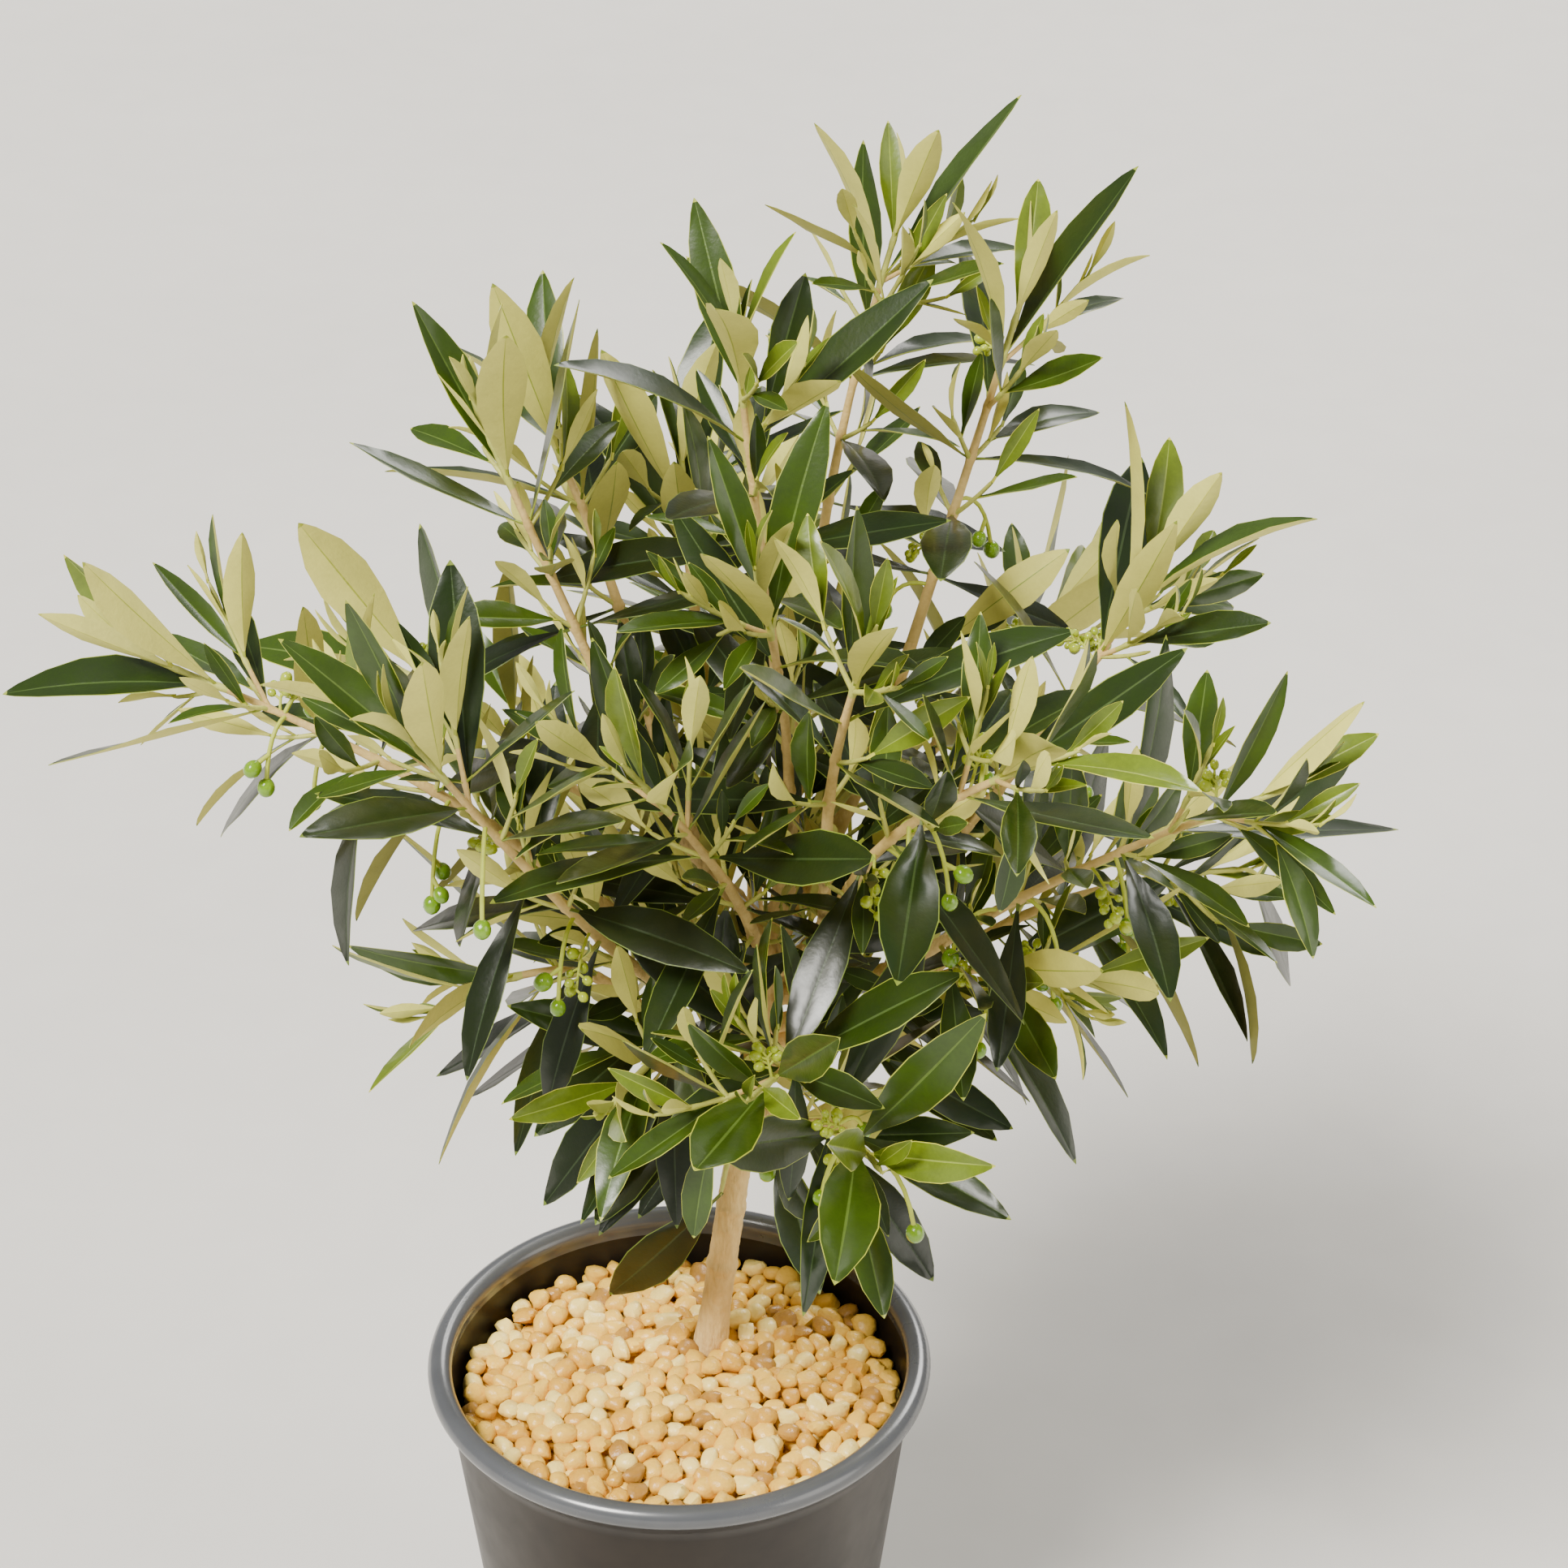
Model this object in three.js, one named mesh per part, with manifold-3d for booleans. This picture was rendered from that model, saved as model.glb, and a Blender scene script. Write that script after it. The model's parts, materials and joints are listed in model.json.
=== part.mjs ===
// Young olive tree in a grow pot: a thin leaning trunk, a fan of boughs, and leafy shoots that carry
// narrow leaves in crossed pairs with a few green olives. Millimetres, +Z up, pot underside at z = 0.
import * as THREE from 'three';
import { mergeVertices } from 'three/addons/utils/BufferGeometryUtils.js';
import Module from 'manifold-3d';

const wasm = await Module();
wasm.setup();

// Pot
const potHeight = 128;
const rimRadius = 70;
const rimWidth = 5;
const rimDepth = 7;
const footRadius = 50;
const shoulderRadius = 64.6;
const shoulderHeight = 117;
const potWall = 1.4;
const potFloor = 2;
const potSides = 28;
const holeCount = 6;
const holeRadius = 4;
const holeCircle = 34;
const holeSides = 10;

// Compost and gravel inside the pot
const clearance = 0.3;
const limbCut = 0.36;
const compostTop = 104;
const gravelEdge = 113;
const gravelCrown = 115.5;
const stoneCount = 42;
const stoneLength = 9;
const stoneHeight = 4.6;
const stoneSink = 1;
const sunflowerAngle = 137.5;

// Trunk
const trunkFoot = new THREE.Vector3(6.6, 20, compostTop - 4);
const trunkMiddle = new THREE.Vector3(14.5, 19, 170);
const trunkTop = new THREE.Vector3(28, 16, 262);
const trunkRadius = 4.5;
const trunkTopRadius = 3.4;
const flare = 1.7;
const flareFade = 16;
const trunkSides = 10;
const trunkSteps = 8;

// Boughs and shoot stems
const crownAxis = new THREE.Vector2(26, 17);
const boughTipRadius = 1.7;
const boughShare = 0.8;
const boughBow = 0.07;
const boughSides = 5;
const boughSteps = 4;
const stemRootRadius = 1.615;
const stemTipRadius = 0.7;
const stemLead = 0.42;
const stemSteps = 4;
const twigSides = 4;
const twigSteps = 1;
const twigFatness = 1.12;

// Side twigs, whose length and lean from the stem vary
const sideLength = 20;
const sideLengthRange = 16;
const sideLean = 42;
const sideLeanSpread = 8;
const sideRise = 0.16;
const sideRootShare = 0.75;
const sideTipRadius = 0.56;
const sideGap = 3;
const sideTurn = 45;
const sideLeafScale = 0.66;
const youngestSideTwig = 2;
const oldestSideTwig = 5;

// Leaf pairs along a twig. A pair's age counts the pairs between it and the tip.
const firstNode = 4;
const nodeStep = 6.8;
const nodeGrowth = 1;
const bareFoot = 5;
const angleSpread = 12;
const openTip = 13;
const openStep = 6;
const openGrowth = 1.6;
const openMost = 80;
const openSpread = 8;

// Leaves
const leafLength = 57;
const leafSlimness = 4.1;
const leafRoundness = 0.75;
const leafThickness = 0.024;
const leafSink = 0.35;
const tipLeafSize = 0.38;
const leafSizeStep = 0.34;
const fullAge = 3;
const oldLeafLoss = 0.03;
const lengthSpread = 0.13;
const widthSpread = 0.16;
const bend = 8;
const bendSpread = 20;
const rollSpread = 22;
const tipLift = 0.42;
const liftLoss = 0.13;
const faceUp = 0.1;
const faceUpStep = 0.14;
const faceUpMost = 0.9;

// Room that is kept round leaves and limbs
const massReach = 66;
const leafGap = 1.8;
const limbGap = 1.2;
const potGap = 4;

// Olives
const oliveRadius = 2.6;
const stalkRadius = 0.6;
const stalkLength = 11;
const stalkLengthRange = 13;
const stalkOut = 0.55;
const stalkTurnOut = 0.2;
const stalkDrop = 0.6;
const stalkSides = 3;
const stalkSteps = 2;
const lowestOlive = 0.12;
const oliveRange = 0.6;
const oliveTries = 24;

// Each shoot leaves its parent at a share of the parent's length. Its bare bough ends, and its leafy
// stem ends, at a heading in degrees round the crown's axis, a reach from that axis and a height. Then
// come the turn of its first leaf pair in degrees, its side twigs and its olives.
const shoots = [
  ['front_low_right', 'trunk', 0.665, [282, 56, 232], [284, 112, 256], 60, 1, 3],
  ['left_low', 'trunk', 0.695, [166, 42, 230], [178, 94, 226], 20, 1, 0],
  ['rear_low', 'trunk', 0.745, [112, 48, 234], [118, 108, 250], 50, 1, 0],
  ['front_left_low', 'trunk', 0.72, [236, 34, 238], [240, 84, 248], 80, 1, 0],
  ['front_low', 'trunk', 0.76, [276, 44, 244], [267, 116, 282], 35, 2, 1],
  ['right_low', 'trunk', 0.755, [8, 52, 246], [4, 128, 270], 15, 1, 1],
  ['right_front_low', 'trunk', 0.8, [343, 42, 248], [338, 98, 260], 70, 1, 1],
  ['rear', 'trunk', 0.8, [96, 58, 266], [98, 140, 318], 0, 1, 1],
  ['rear_right', 'trunk', 0.84, [54, 58, 266], [50, 134, 304], 45, 1, 1],
  ['left_front', 'trunk', 0.835, [228, 54, 272], [222, 122, 370], 20, 2, 1],
  ['rear_left', 'trunk', 0.86, [146, 54, 270], [152, 130, 308], 75, 1, 1],
  ['right_far', 'trunk', 0.85, [330, 54, 272], [339, 142, 333], 30, 2, 2],
  ['left_far', 'trunk', 0.895, [200, 62, 290], [186, 164, 352], 60, 2, 3],
  ['right_front', 'trunk', 0.9, [294, 50, 300], [311, 112, 362], 10, 2, 4],
  ['right_rear', 'trunk', 0.88, [18, 56, 280], [20, 112, 354], 80, 2, 1],
  ['front_left_inner', 'trunk', 0.94, [260, 32, 278], [246, 88, 356], 0, 2, 0],
  ['rear_high', 'trunk', 0.91, [78, 52, 324], [68, 96, 430], 50, 2, 0],
  ['left_high', 'trunk', 0.96, [184, 38, 318], [173, 76, 410], 25, 1, 0],
  ['right_high', 'trunk', 0.945, [42, 50, 326], [42, 90, 420], 65, 2, 1],
  ['crown_centre', 'trunk', 1, [60, 3, 330], [143, 12, 434], 15, 2, 0],
  ['front_centre', 'crown_centre', 0.25, [285, 17, 308], [264, 40, 388], 55, 1, 0],
  ['front_right_inner', 'right_front', 0.6, [286, 50, 316], [290, 74, 388], 85, 1, 0],
  ['rear_left_inner', 'rear_high', 0.35, [116, 36, 312], [115, 56, 382], 5, 1, 0],
  ['rear_left_high', 'left_high', 0.4, [146, 44, 326], [144, 80, 396], 40, 1, 0],
].map(([name, from, at, bough, tip, turn, sideTwigs, olives]) => (
  { name, from, at, bough, tip, turn, sideTwigs, olives }
));

// Seeds of the random draws, and the step from one shoot's seed to the next
const twigSeed = { first: 1000, step: 77 };
const leafSeed = { first: 5000, step: 131 };
const oliveSeed = { first: 9000, step: 53 };
const gravelSeed = 31;

// Colours
const leafGreen = 0x4f6b3a;
const barkTan = 0xb08f6d;
const potGrey = 0x5b5755;
const gravelSand = 0xd9b883;
const compostBrown = 0x3a2a20;

const up = new THREE.Vector3(0, 0, 1);

function radians(degrees) {
  return degrees * Math.PI / 180;
}

function mix(a, b, share) {
  return a + (b - a) * share;
}

function moved(point, direction, distance) {
  return point.clone().addScaledVector(direction, distance);
}

// A small repeatable random draw between 0 and 1
function drawer(seed) {
  let state = seed;
  return () => {
    state = (Math.imul(state, 1664525) + 1013904223) >>> 0;
    return state / 4294967296;
  };
}

function drawerOf(seed, index) {
  return drawer(seed.first + index * seed.step);
}

function spread(draw, width) {
  return (draw() * 2 - 1) * width;
}

function solidOf(geometry) {
  const bare = geometry.clone();
  bare.deleteAttribute('normal');
  bare.deleteAttribute('uv');
  const merged = mergeVertices(bare, 1e-5);
  const mesh = new wasm.Mesh({
    numProp: 3,
    vertProperties: new Float32Array(merged.attributes.position.array),
    triVerts: new Uint32Array(merged.index.array),
  });
  return new wasm.Manifold(mesh);
}

// The largest body of a solid, so that no loose scrap is kept
function geometryOf(solid) {
  let largest = null;
  for (const body of solid.decompose()) {
    if (!largest || body.volume() > largest.volume()) {
      largest = body;
    }
  }
  const mesh = largest.getMesh();
  const geometry = new THREE.BufferGeometry();
  geometry.setAttribute('position', new THREE.BufferAttribute(new Float32Array(mesh.vertProperties), 3));
  geometry.setIndex(new THREE.BufferAttribute(new Uint32Array(mesh.triVerts), 1));
  geometry.computeVertexNormals();
  return geometry;
}

function crownPoint([heading, reach, height]) {
  const angle = radians(heading);
  return new THREE.Vector3(
    crownAxis.x + reach * Math.cos(angle),
    crownAxis.y + reach * Math.sin(angle),
    height,
  );
}

// A limb is a curve with a radius at each end. Its frame has one direction that stays level.
const limbSteps = 12;

function makeLimb(start, middle, end, startRadius, endRadius) {
  const curve = new THREE.QuadraticBezierCurve3(start, middle, end);
  const run = end.clone().sub(start);
  const level = new THREE.Vector3(-run.y, run.x, 0).normalize();
  const points = curve.getPoints(limbSteps);
  let length = 0;
  for (let i = 0; i < limbSteps; i++) {
    length += points[i].distanceTo(points[i + 1]);
  }
  return { curve, level, points, length, startRadius, endRadius };
}

function radiusOf(limb, t) {
  return mix(limb.startRadius, limb.endRadius, t);
}

function frameOf(limb, t) {
  const along = limb.curve.getTangent(t);
  const side = moved(limb.level, along, -limb.level.dot(along)).normalize();
  const lift = new THREE.Vector3().crossVectors(along, side);
  return { point: limb.curve.getPoint(t), along, side, lift };
}

function around(frame, angle) {
  return frame.side.clone().multiplyScalar(Math.cos(angle)).addScaledVector(frame.lift, Math.sin(angle));
}

// A cylinder bent along a limb, with the limb's taper
function limbGeometry(limb, sides, steps, { extra = 0, swell = () => 0, turn = 0 } = {}) {
  const geometry = new THREE.CylinderGeometry(1, 1, 1, sides, steps, false, turn);
  const position = geometry.attributes.position;
  for (let i = 0; i < position.count; i++) {
    const t = position.getY(i) + 0.5;
    const frame = frameOf(limb, t);
    const radius = radiusOf(limb, t) + extra + swell(t * limb.length);
    const place = moved(frame.point, frame.side, position.getZ(i) * radius);
    place.addScaledVector(frame.lift, position.getX(i) * radius);
    position.setXYZ(i, place.x, place.y, place.z);
  }
  return geometry;
}

// Twigs are four-sided, turned so that their leaves leave from the flat sides
function twigGeometry(limb, steps, turn) {
  const startRadius = limb.startRadius * twigFatness;
  const endRadius = limb.endRadius * twigFatness;
  return limbGeometry({ ...limb, startRadius, endRadius }, twigSides, steps, { turn: radians(turn + 45) });
}

// How far a point lies from the surface of a limb
function gapToLimb(point, limb) {
  let nearest = Infinity;
  const segment = new THREE.Line3();
  const foot = new THREE.Vector3();
  for (let i = 0; i < limbSteps; i++) {
    segment.set(limb.points[i], limb.points[i + 1]);
    segment.closestPointToPoint(point, true, foot);
    nearest = Math.min(nearest, foot.distanceTo(point) - radiusOf(limb, (i + 0.5) / limbSteps));
  }
  return nearest;
}

// Trunk and boughs
const trunk = makeLimb(trunkFoot, trunkMiddle, trunkTop, trunkRadius, trunkTopRadius);
const boughs = new Map();
const stems = new Map();

// The leader goes on from the trunk's top, and every other bough starts inside its parent
function growBough(shoot) {
  const parent = shoot.from === 'trunk' ? trunk : boughs.get(shoot.from);
  const root = frameOf(parent, shoot.at);
  const leads = shoot.at === 1;
  const start = leads ? moved(root.point, root.along, clearance) : root.point;
  const end = crownPoint(shoot.bough);
  const span = start.distanceTo(end);
  const outward = end.clone().sub(start).setZ(0).normalize();
  const middle = leads ? moved(start, root.along, span * stemLead) : start.clone().lerp(end, 0.5);
  if (!leads) {
    middle.addScaledVector(outward, span * boughBow).addScaledVector(up, -span * boughBow);
  }
  const rootRadius = Math.max(boughShare * radiusOf(parent, shoot.at), boughTipRadius);
  return makeLimb(start, middle, end, leads ? trunkTopRadius : rootRadius, boughTipRadius);
}

function growStem(shoot) {
  const tip = frameOf(boughs.get(shoot.name), 1);
  const start = moved(tip.point, tip.along, clearance);
  const end = crownPoint(shoot.tip);
  const middle = moved(start, tip.along, start.distanceTo(end) * stemLead);
  return makeLimb(start, middle, end, stemRootRadius, stemTipRadius);
}

const shootsOnTrunk = shoots.filter((shoot) => shoot.from === 'trunk');
const shootsOnBoughs = shoots.filter((shoot) => shoot.from !== 'trunk');
for (const shoot of [...shootsOnTrunk, ...shootsOnBoughs]) {
  boughs.set(shoot.name, growBough(shoot));
}
for (const shoot of shoots) {
  stems.set(shoot.name, growStem(shoot));
}

// The pairs of leaves on a twig, from its tip down
function leafNodes(twig) {
  const nodes = [];
  for (let age = 0; ; age++) {
    const fromTip = firstNode + age * nodeStep + age * age * nodeGrowth;
    if (fromTip > twig.length - bareFoot) {
      return nodes;
    }
    nodes.push({ age, t: 1 - fromTip / twig.length });
  }
}

// Side twigs start in the axils of the older leaf pairs and are skipped where they would touch a limb
const twigs = new Map();
const limbs = [trunk, ...boughs.values(), ...stems.values()];
const firstClearPoint = 3;

function growSideTwig(stem, node, angle, draw) {
  const root = frameOf(stem, node.t);
  const outward = around(root, angle);
  const length = sideLength + sideLengthRange * draw();
  const lean = radians(sideLean + spread(draw, sideLeanSpread));
  const heading = root.along.clone().multiplyScalar(Math.cos(lean)).addScaledVector(outward, Math.sin(lean));
  const middle = moved(root.point, heading, length / 2);
  const end = moved(root.point, heading, length).addScaledVector(up, length * sideRise);
  return makeLimb(root.point, middle, end, radiusOf(stem, node.t) * sideRootShare, sideTipRadius);
}

function twigIsClear(twig, stem) {
  for (const limb of limbs) {
    for (let i = firstClearPoint; i <= limbSteps; i++) {
      const gap = gapToLimb(twig.points[i], limb);
      if (gap < (limb === stem ? limbGap : sideGap)) {
        return false;
      }
    }
  }
  return true;
}

shoots.forEach((shoot, index) => {
  const stem = stems.get(shoot.name);
  const draw = drawerOf(twigSeed, index);
  const grown = [];
  for (const { age, t } of leafNodes(stem)) {
    const angle = radians(shoot.turn + 90 * age + (age % 2) * 180 + spread(draw, angleSpread));
    const twig = growSideTwig(stem, { t }, angle, draw);
    const wanted = age >= youngestSideTwig && age <= oldestSideTwig && grown.length < shoot.sideTwigs;
    if (wanted && twigIsClear(twig, stem)) {
      grown.push(twig);
      limbs.push(twig);
    }
  }
  twigs.set(shoot.name, grown);
});

// A leaf's midrib is an arc that leaves the twig along its axis and turns towards its underside
function midrib(leaf, share) {
  const turn = leaf.bend * share;
  const along = leaf.length * Math.sin(turn) / leaf.bend;
  const down = leaf.length * (1 - Math.cos(turn)) / leaf.bend;
  return moved(leaf.root, leaf.axis, along).addScaledVector(leaf.normal, -down);
}

function halfWidth(leaf, share) {
  const inside = Math.min(Math.max(share, 0), 1);
  return leaf.width / 2 * Math.pow(Math.sin(Math.PI * inside), leafRoundness);
}

// Points spread over a leaf, in rows across it. The rows by its root may lie close to its own twig.
const sampleCount = 18;
const firstSample = 2;
const sampleSides = [-1, -0.5, 0, 0.5, 1];
const rowsByOwnTwig = 4;

function sampleLeaf(leaf) {
  leaf.tip = midrib(leaf, 1);
  leaf.chord = leaf.tip.distanceTo(leaf.root);
  leaf.chordAxis = leaf.tip.clone().sub(leaf.root).normalize();
  leaf.chordNormal = moved(leaf.normal, leaf.chordAxis, -leaf.normal.dot(leaf.chordAxis)).normalize();
  leaf.arch = leaf.length * Math.tan(leaf.bend / 4) / 2;
  leaf.middle = midrib(leaf, 0.5);
  leaf.samples = [];
  for (let i = firstSample; i <= sampleCount; i++) {
    const share = i / sampleCount;
    const centre = midrib(leaf, share);
    for (const side of sampleSides) {
      leaf.samples.push(moved(centre, leaf.across, side * halfWidth(leaf, share)));
    }
  }
}

// Whether one of the points lies within a gap of the leaf's blade, from just past its root to its tip
const bladeStart = 0.1;
const bladeEnd = 1.03;

function bladeIsNear(leaf, points, gap) {
  for (const point of points) {
    const away = point.clone().sub(leaf.root);
    const share = away.dot(leaf.chordAxis) / leaf.chord;
    if (share > bladeStart && share < bladeEnd) {
      const height = away.dot(leaf.chordNormal) - leaf.arch * 4 * share * (1 - share);
      const aside = Math.abs(away.dot(leaf.across));
      if (Math.abs(height) < gap && aside < halfWidth(leaf, share) + gap) {
        return true;
      }
    }
  }
  return false;
}

function inPot(point) {
  return point.z < potHeight + potGap && Math.hypot(point.x, point.y) < rimRadius + potGap;
}

const leaves = [];

function leafIsClear(leaf) {
  if (gapToLimb(leaf.tip, leaf.stem) > massReach || leaf.samples.some(inPot)) {
    return false;
  }
  for (const limb of limbs) {
    const first = limb === leaf.twig ? rowsByOwnTwig * sampleSides.length : 0;
    for (let i = first; i < leaf.samples.length; i++) {
      if (gapToLimb(leaf.samples[i], limb) < limbGap) {
        return false;
      }
    }
  }
  for (const other of leaves) {
    if (other.middle.distanceTo(leaf.middle) < (other.length + leaf.length) / 2 + leafGap) {
      if (bladeIsNear(other, leaf.samples, leafGap) || bladeIsNear(leaf, other.samples, leafGap)) {
        return false;
      }
    }
  }
  return true;
}

// A young leaf stands up beside its twig, and an old one spreads out and turns its face to the sky
function leafAt(twig, stem, node, angle, open, size, look) {
  const frame = frameOf(twig, node.t);
  const outward = around(frame, angle);
  const axis = frame.along.clone().multiplyScalar(Math.cos(open)).addScaledVector(outward, Math.sin(open));
  const inner = frame.along.clone().multiplyScalar(Math.sin(open)).addScaledVector(outward, -Math.cos(open));
  axis.addScaledVector(up, tipLift - liftLoss * node.age).normalize();
  inner.addScaledVector(up, Math.min(faceUpMost, faceUp + faceUpStep * node.age));
  const across = new THREE.Vector3().crossVectors(inner, axis).normalize();
  across.applyAxisAngle(axis, look.roll);
  const normal = new THREE.Vector3().crossVectors(axis, across);
  const root = moved(frame.point, outward, -radiusOf(twig, node.t) * leafSink);
  const length = size * look.length;
  const width = length / leafSlimness * look.width;
  const leaf = { twig, stem, root, axis, normal, across, length, width, bend: look.bend, age: node.age };
  sampleLeaf(leaf);
  return leaf;
}

// Each try turns a leaf round its twig and opens it by some degrees, and shrinks it. A leaf that is
// clear in none of them is skipped.
const leafTries = [
  { turnBy: 0, openBy: 0, shrink: 1 },
  { turnBy: 20, openBy: 5, shrink: 1 },
  { turnBy: -20, openBy: 5, shrink: 1 },
  { turnBy: 36, openBy: -10, shrink: 0.95 },
  { turnBy: -36, openBy: -10, shrink: 0.95 },
  { turnBy: 0, openBy: -18, shrink: 0.85 },
  { turnBy: 28, openBy: 14, shrink: 0.8 },
  { turnBy: -28, openBy: 14, shrink: 0.8 },
];

function growLeafPair(twig, stem, node, turn, scale, draw) {
  const { age } = node;
  for (const half of [0, 1]) {
    const angle = turn + 90 * age + 180 * half + spread(draw, angleSpread);
    const widest = Math.min(openMost, openTip + openStep * age + openGrowth * age * age);
    const open = widest + spread(draw, openSpread);
    const grown = Math.min(1, tipLeafSize + leafSizeStep * age);
    const aged = 1 - oldLeafLoss * Math.max(0, age - fullAge);
    const look = {
      length: 1 + spread(draw, lengthSpread),
      width: 1 + spread(draw, widthSpread),
      bend: radians(bend + spread(draw, bendSpread)),
      roll: radians(spread(draw, rollSpread)),
    };
    for (const { turnBy, openBy, shrink } of leafTries) {
      const size = leafLength * grown * aged * scale * shrink;
      const leaf = leafAt(twig, stem, node, radians(angle + turnBy), radians(open + openBy), size, look);
      if (leafIsClear(leaf)) {
        leaves.push(leaf);
        break;
      }
    }
  }
}

shoots.forEach((shoot, index) => {
  const stem = stems.get(shoot.name);
  const draw = drawerOf(leafSeed, index);
  for (const node of leafNodes(stem)) {
    growLeafPair(stem, stem, node, shoot.turn, 1, draw);
  }
  for (const twig of twigs.get(shoot.name)) {
    for (const node of leafNodes(twig)) {
      growLeafPair(twig, stem, node, shoot.turn + sideTurn, sideLeafScale, draw);
    }
  }
});

// Olives hang on thin stalks from the stems and are skipped where they would touch a leaf or a limb
const fruits = [];

function oliveIsClear(centre, stalk, stem) {
  const free = stalk.points.slice(firstClearPoint);
  const near = leaves.some((leaf) => bladeIsNear(leaf, [centre], oliveRadius + limbGap)
    || bladeIsNear(leaf, free, stalkRadius + limbGap));
  const crowded = fruits.some((fruit) => fruit.centre.distanceTo(centre) < oliveRadius * 2 + limbGap);
  const touching = limbs.some((limb) => gapToLimb(centre, limb) < oliveRadius + limbGap
    || (limb !== stem && stalk.points.some((point) => gapToLimb(point, limb) < stalkRadius + limbGap)));
  return !near && !crowded && !touching && !inPot(centre);
}

shoots.forEach((shoot, index) => {
  const stem = stems.get(shoot.name);
  const draw = drawerOf(oliveSeed, index);
  let hung = 0;
  for (let attempt = 0; attempt < oliveTries && hung < shoot.olives; attempt++) {
    const frame = frameOf(stem, lowestOlive + oliveRange * draw());
    const outward = around(frame, draw() * Math.PI * 2);
    const length = stalkLength + stalkLengthRange * draw();
    const middle = moved(frame.point, outward, length * stalkOut);
    const end = moved(middle, outward, length * stalkTurnOut).addScaledVector(up, -length * stalkDrop);
    const stalk = makeLimb(frame.point, middle, end, stalkRadius, stalkRadius);
    const centre = moved(end, stalk.curve.getTangent(1), oliveRadius * 0.7);
    if (oliveIsClear(centre, stalk, stem)) {
      fruits.push({ stem, stalk, centre });
      hung += 1;
    }
  }
});

// A leaf solid is a bent hexagon, raised to a ridge point on the side that it bends to, so that its flat
// faces stay apart. Its root is sunk past the twig's axis.
const lowerShoulder = { share: 0.34, width: 0.46 };
const upperShoulder = { share: 0.7, width: 0.37 };
const ridgeShare = 0.46;

function leafGeometry(leaf) {
  const corners = [leaf.root];
  for (const shoulder of [lowerShoulder, upperShoulder]) {
    const centre = midrib(leaf, shoulder.share);
    corners.push(moved(centre, leaf.across, leaf.width * shoulder.width));
    corners.push(moved(centre, leaf.across, -leaf.width * shoulder.width));
  }
  const turn = leaf.bend * ridgeShare;
  const face = leaf.normal.clone().multiplyScalar(Math.cos(turn)).addScaledVector(leaf.axis, Math.sin(turn));
  const ridgeHeight = -Math.sign(leaf.bend) * leaf.length * leafThickness;
  corners.push(leaf.tip, moved(midrib(leaf, ridgeShare), face, ridgeHeight));
  const [root, lowLeft, lowRight, highLeft, highRight, tip, ridge] = corners.keys();
  const outline = [root, lowLeft, highLeft, tip, highRight, lowRight];
  const faces = [
    root, lowLeft, lowRight, lowLeft, highLeft, lowRight,
    lowRight, highLeft, highRight, highLeft, tip, highRight,
  ];
  for (let i = 0; i < outline.length; i++) {
    faces.push(ridge, outline[(i + 1) % outline.length], outline[i]);
  }
  const geometry = new THREE.BufferGeometry().setFromPoints(corners);
  geometry.setIndex(ridgeHeight > 0 ? faces : faces.reverse());
  return geometry;
}

// Materials and named meshes
const group = new THREE.Group();

function addMesh(name, geometry, color, roughness) {
  const material = new THREE.MeshStandardMaterial({ color, roughness, metalness: 0 });
  const mesh = new THREE.Mesh(geometry, material);
  mesh.name = name;
  group.add(mesh);
}

function turnedSolid(profile) {
  const lathe = new THREE.LatheGeometry(profile.map(([r, z]) => new THREE.Vector2(r, z)), potSides);
  lathe.rotateX(Math.PI / 2);
  return solidOf(lathe);
}

// Pot: a thin tapering cup with a rolled rim and drainage holes in its floor
const wallSlope = (shoulderRadius - footRadius) / shoulderHeight;

function insideRadius(height) {
  return footRadius + wallSlope * height - potWall;
}

function buildPot() {
  const rimFoot = potHeight - rimDepth;
  const innerFoot = rimFoot + 1;
  const profile = [
    [0, 0], [footRadius, 0], [shoulderRadius, shoulderHeight],
    [rimRadius - 1.6, rimFoot - 3], [rimRadius - 0.2, rimFoot], [rimRadius, rimFoot + 3.4],
    [rimRadius - 1.2, potHeight - 1], [rimRadius - 3, potHeight], [rimRadius - rimWidth + 0.2, potHeight - 1],
    [insideRadius(innerFoot) + 0.4, innerFoot], [insideRadius(potFloor), potFloor], [0, potFloor],
  ];
  let pot = turnedSolid(profile);
  for (let i = 0; i < holeCount; i++) {
    const angle = 2 * Math.PI * (i + 0.5) / holeCount;
    const hole = new THREE.CylinderGeometry(holeRadius, holeRadius, potFloor * 3, holeSides);
    hole.rotateX(Math.PI / 2);
    hole.translate(holeCircle * Math.cos(angle), holeCircle * Math.sin(angle), potFloor / 2);
    pot = pot.subtract(solidOf(hole));
  }
  return geometryOf(pot);
}

function buildCompost() {
  const low = potFloor + clearance;
  return geometryOf(turnedSolid([
    [0, low], [insideRadius(low) - clearance, low],
    [insideRadius(compostTop) - clearance, compostTop], [0, compostTop],
  ]));
}

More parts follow.
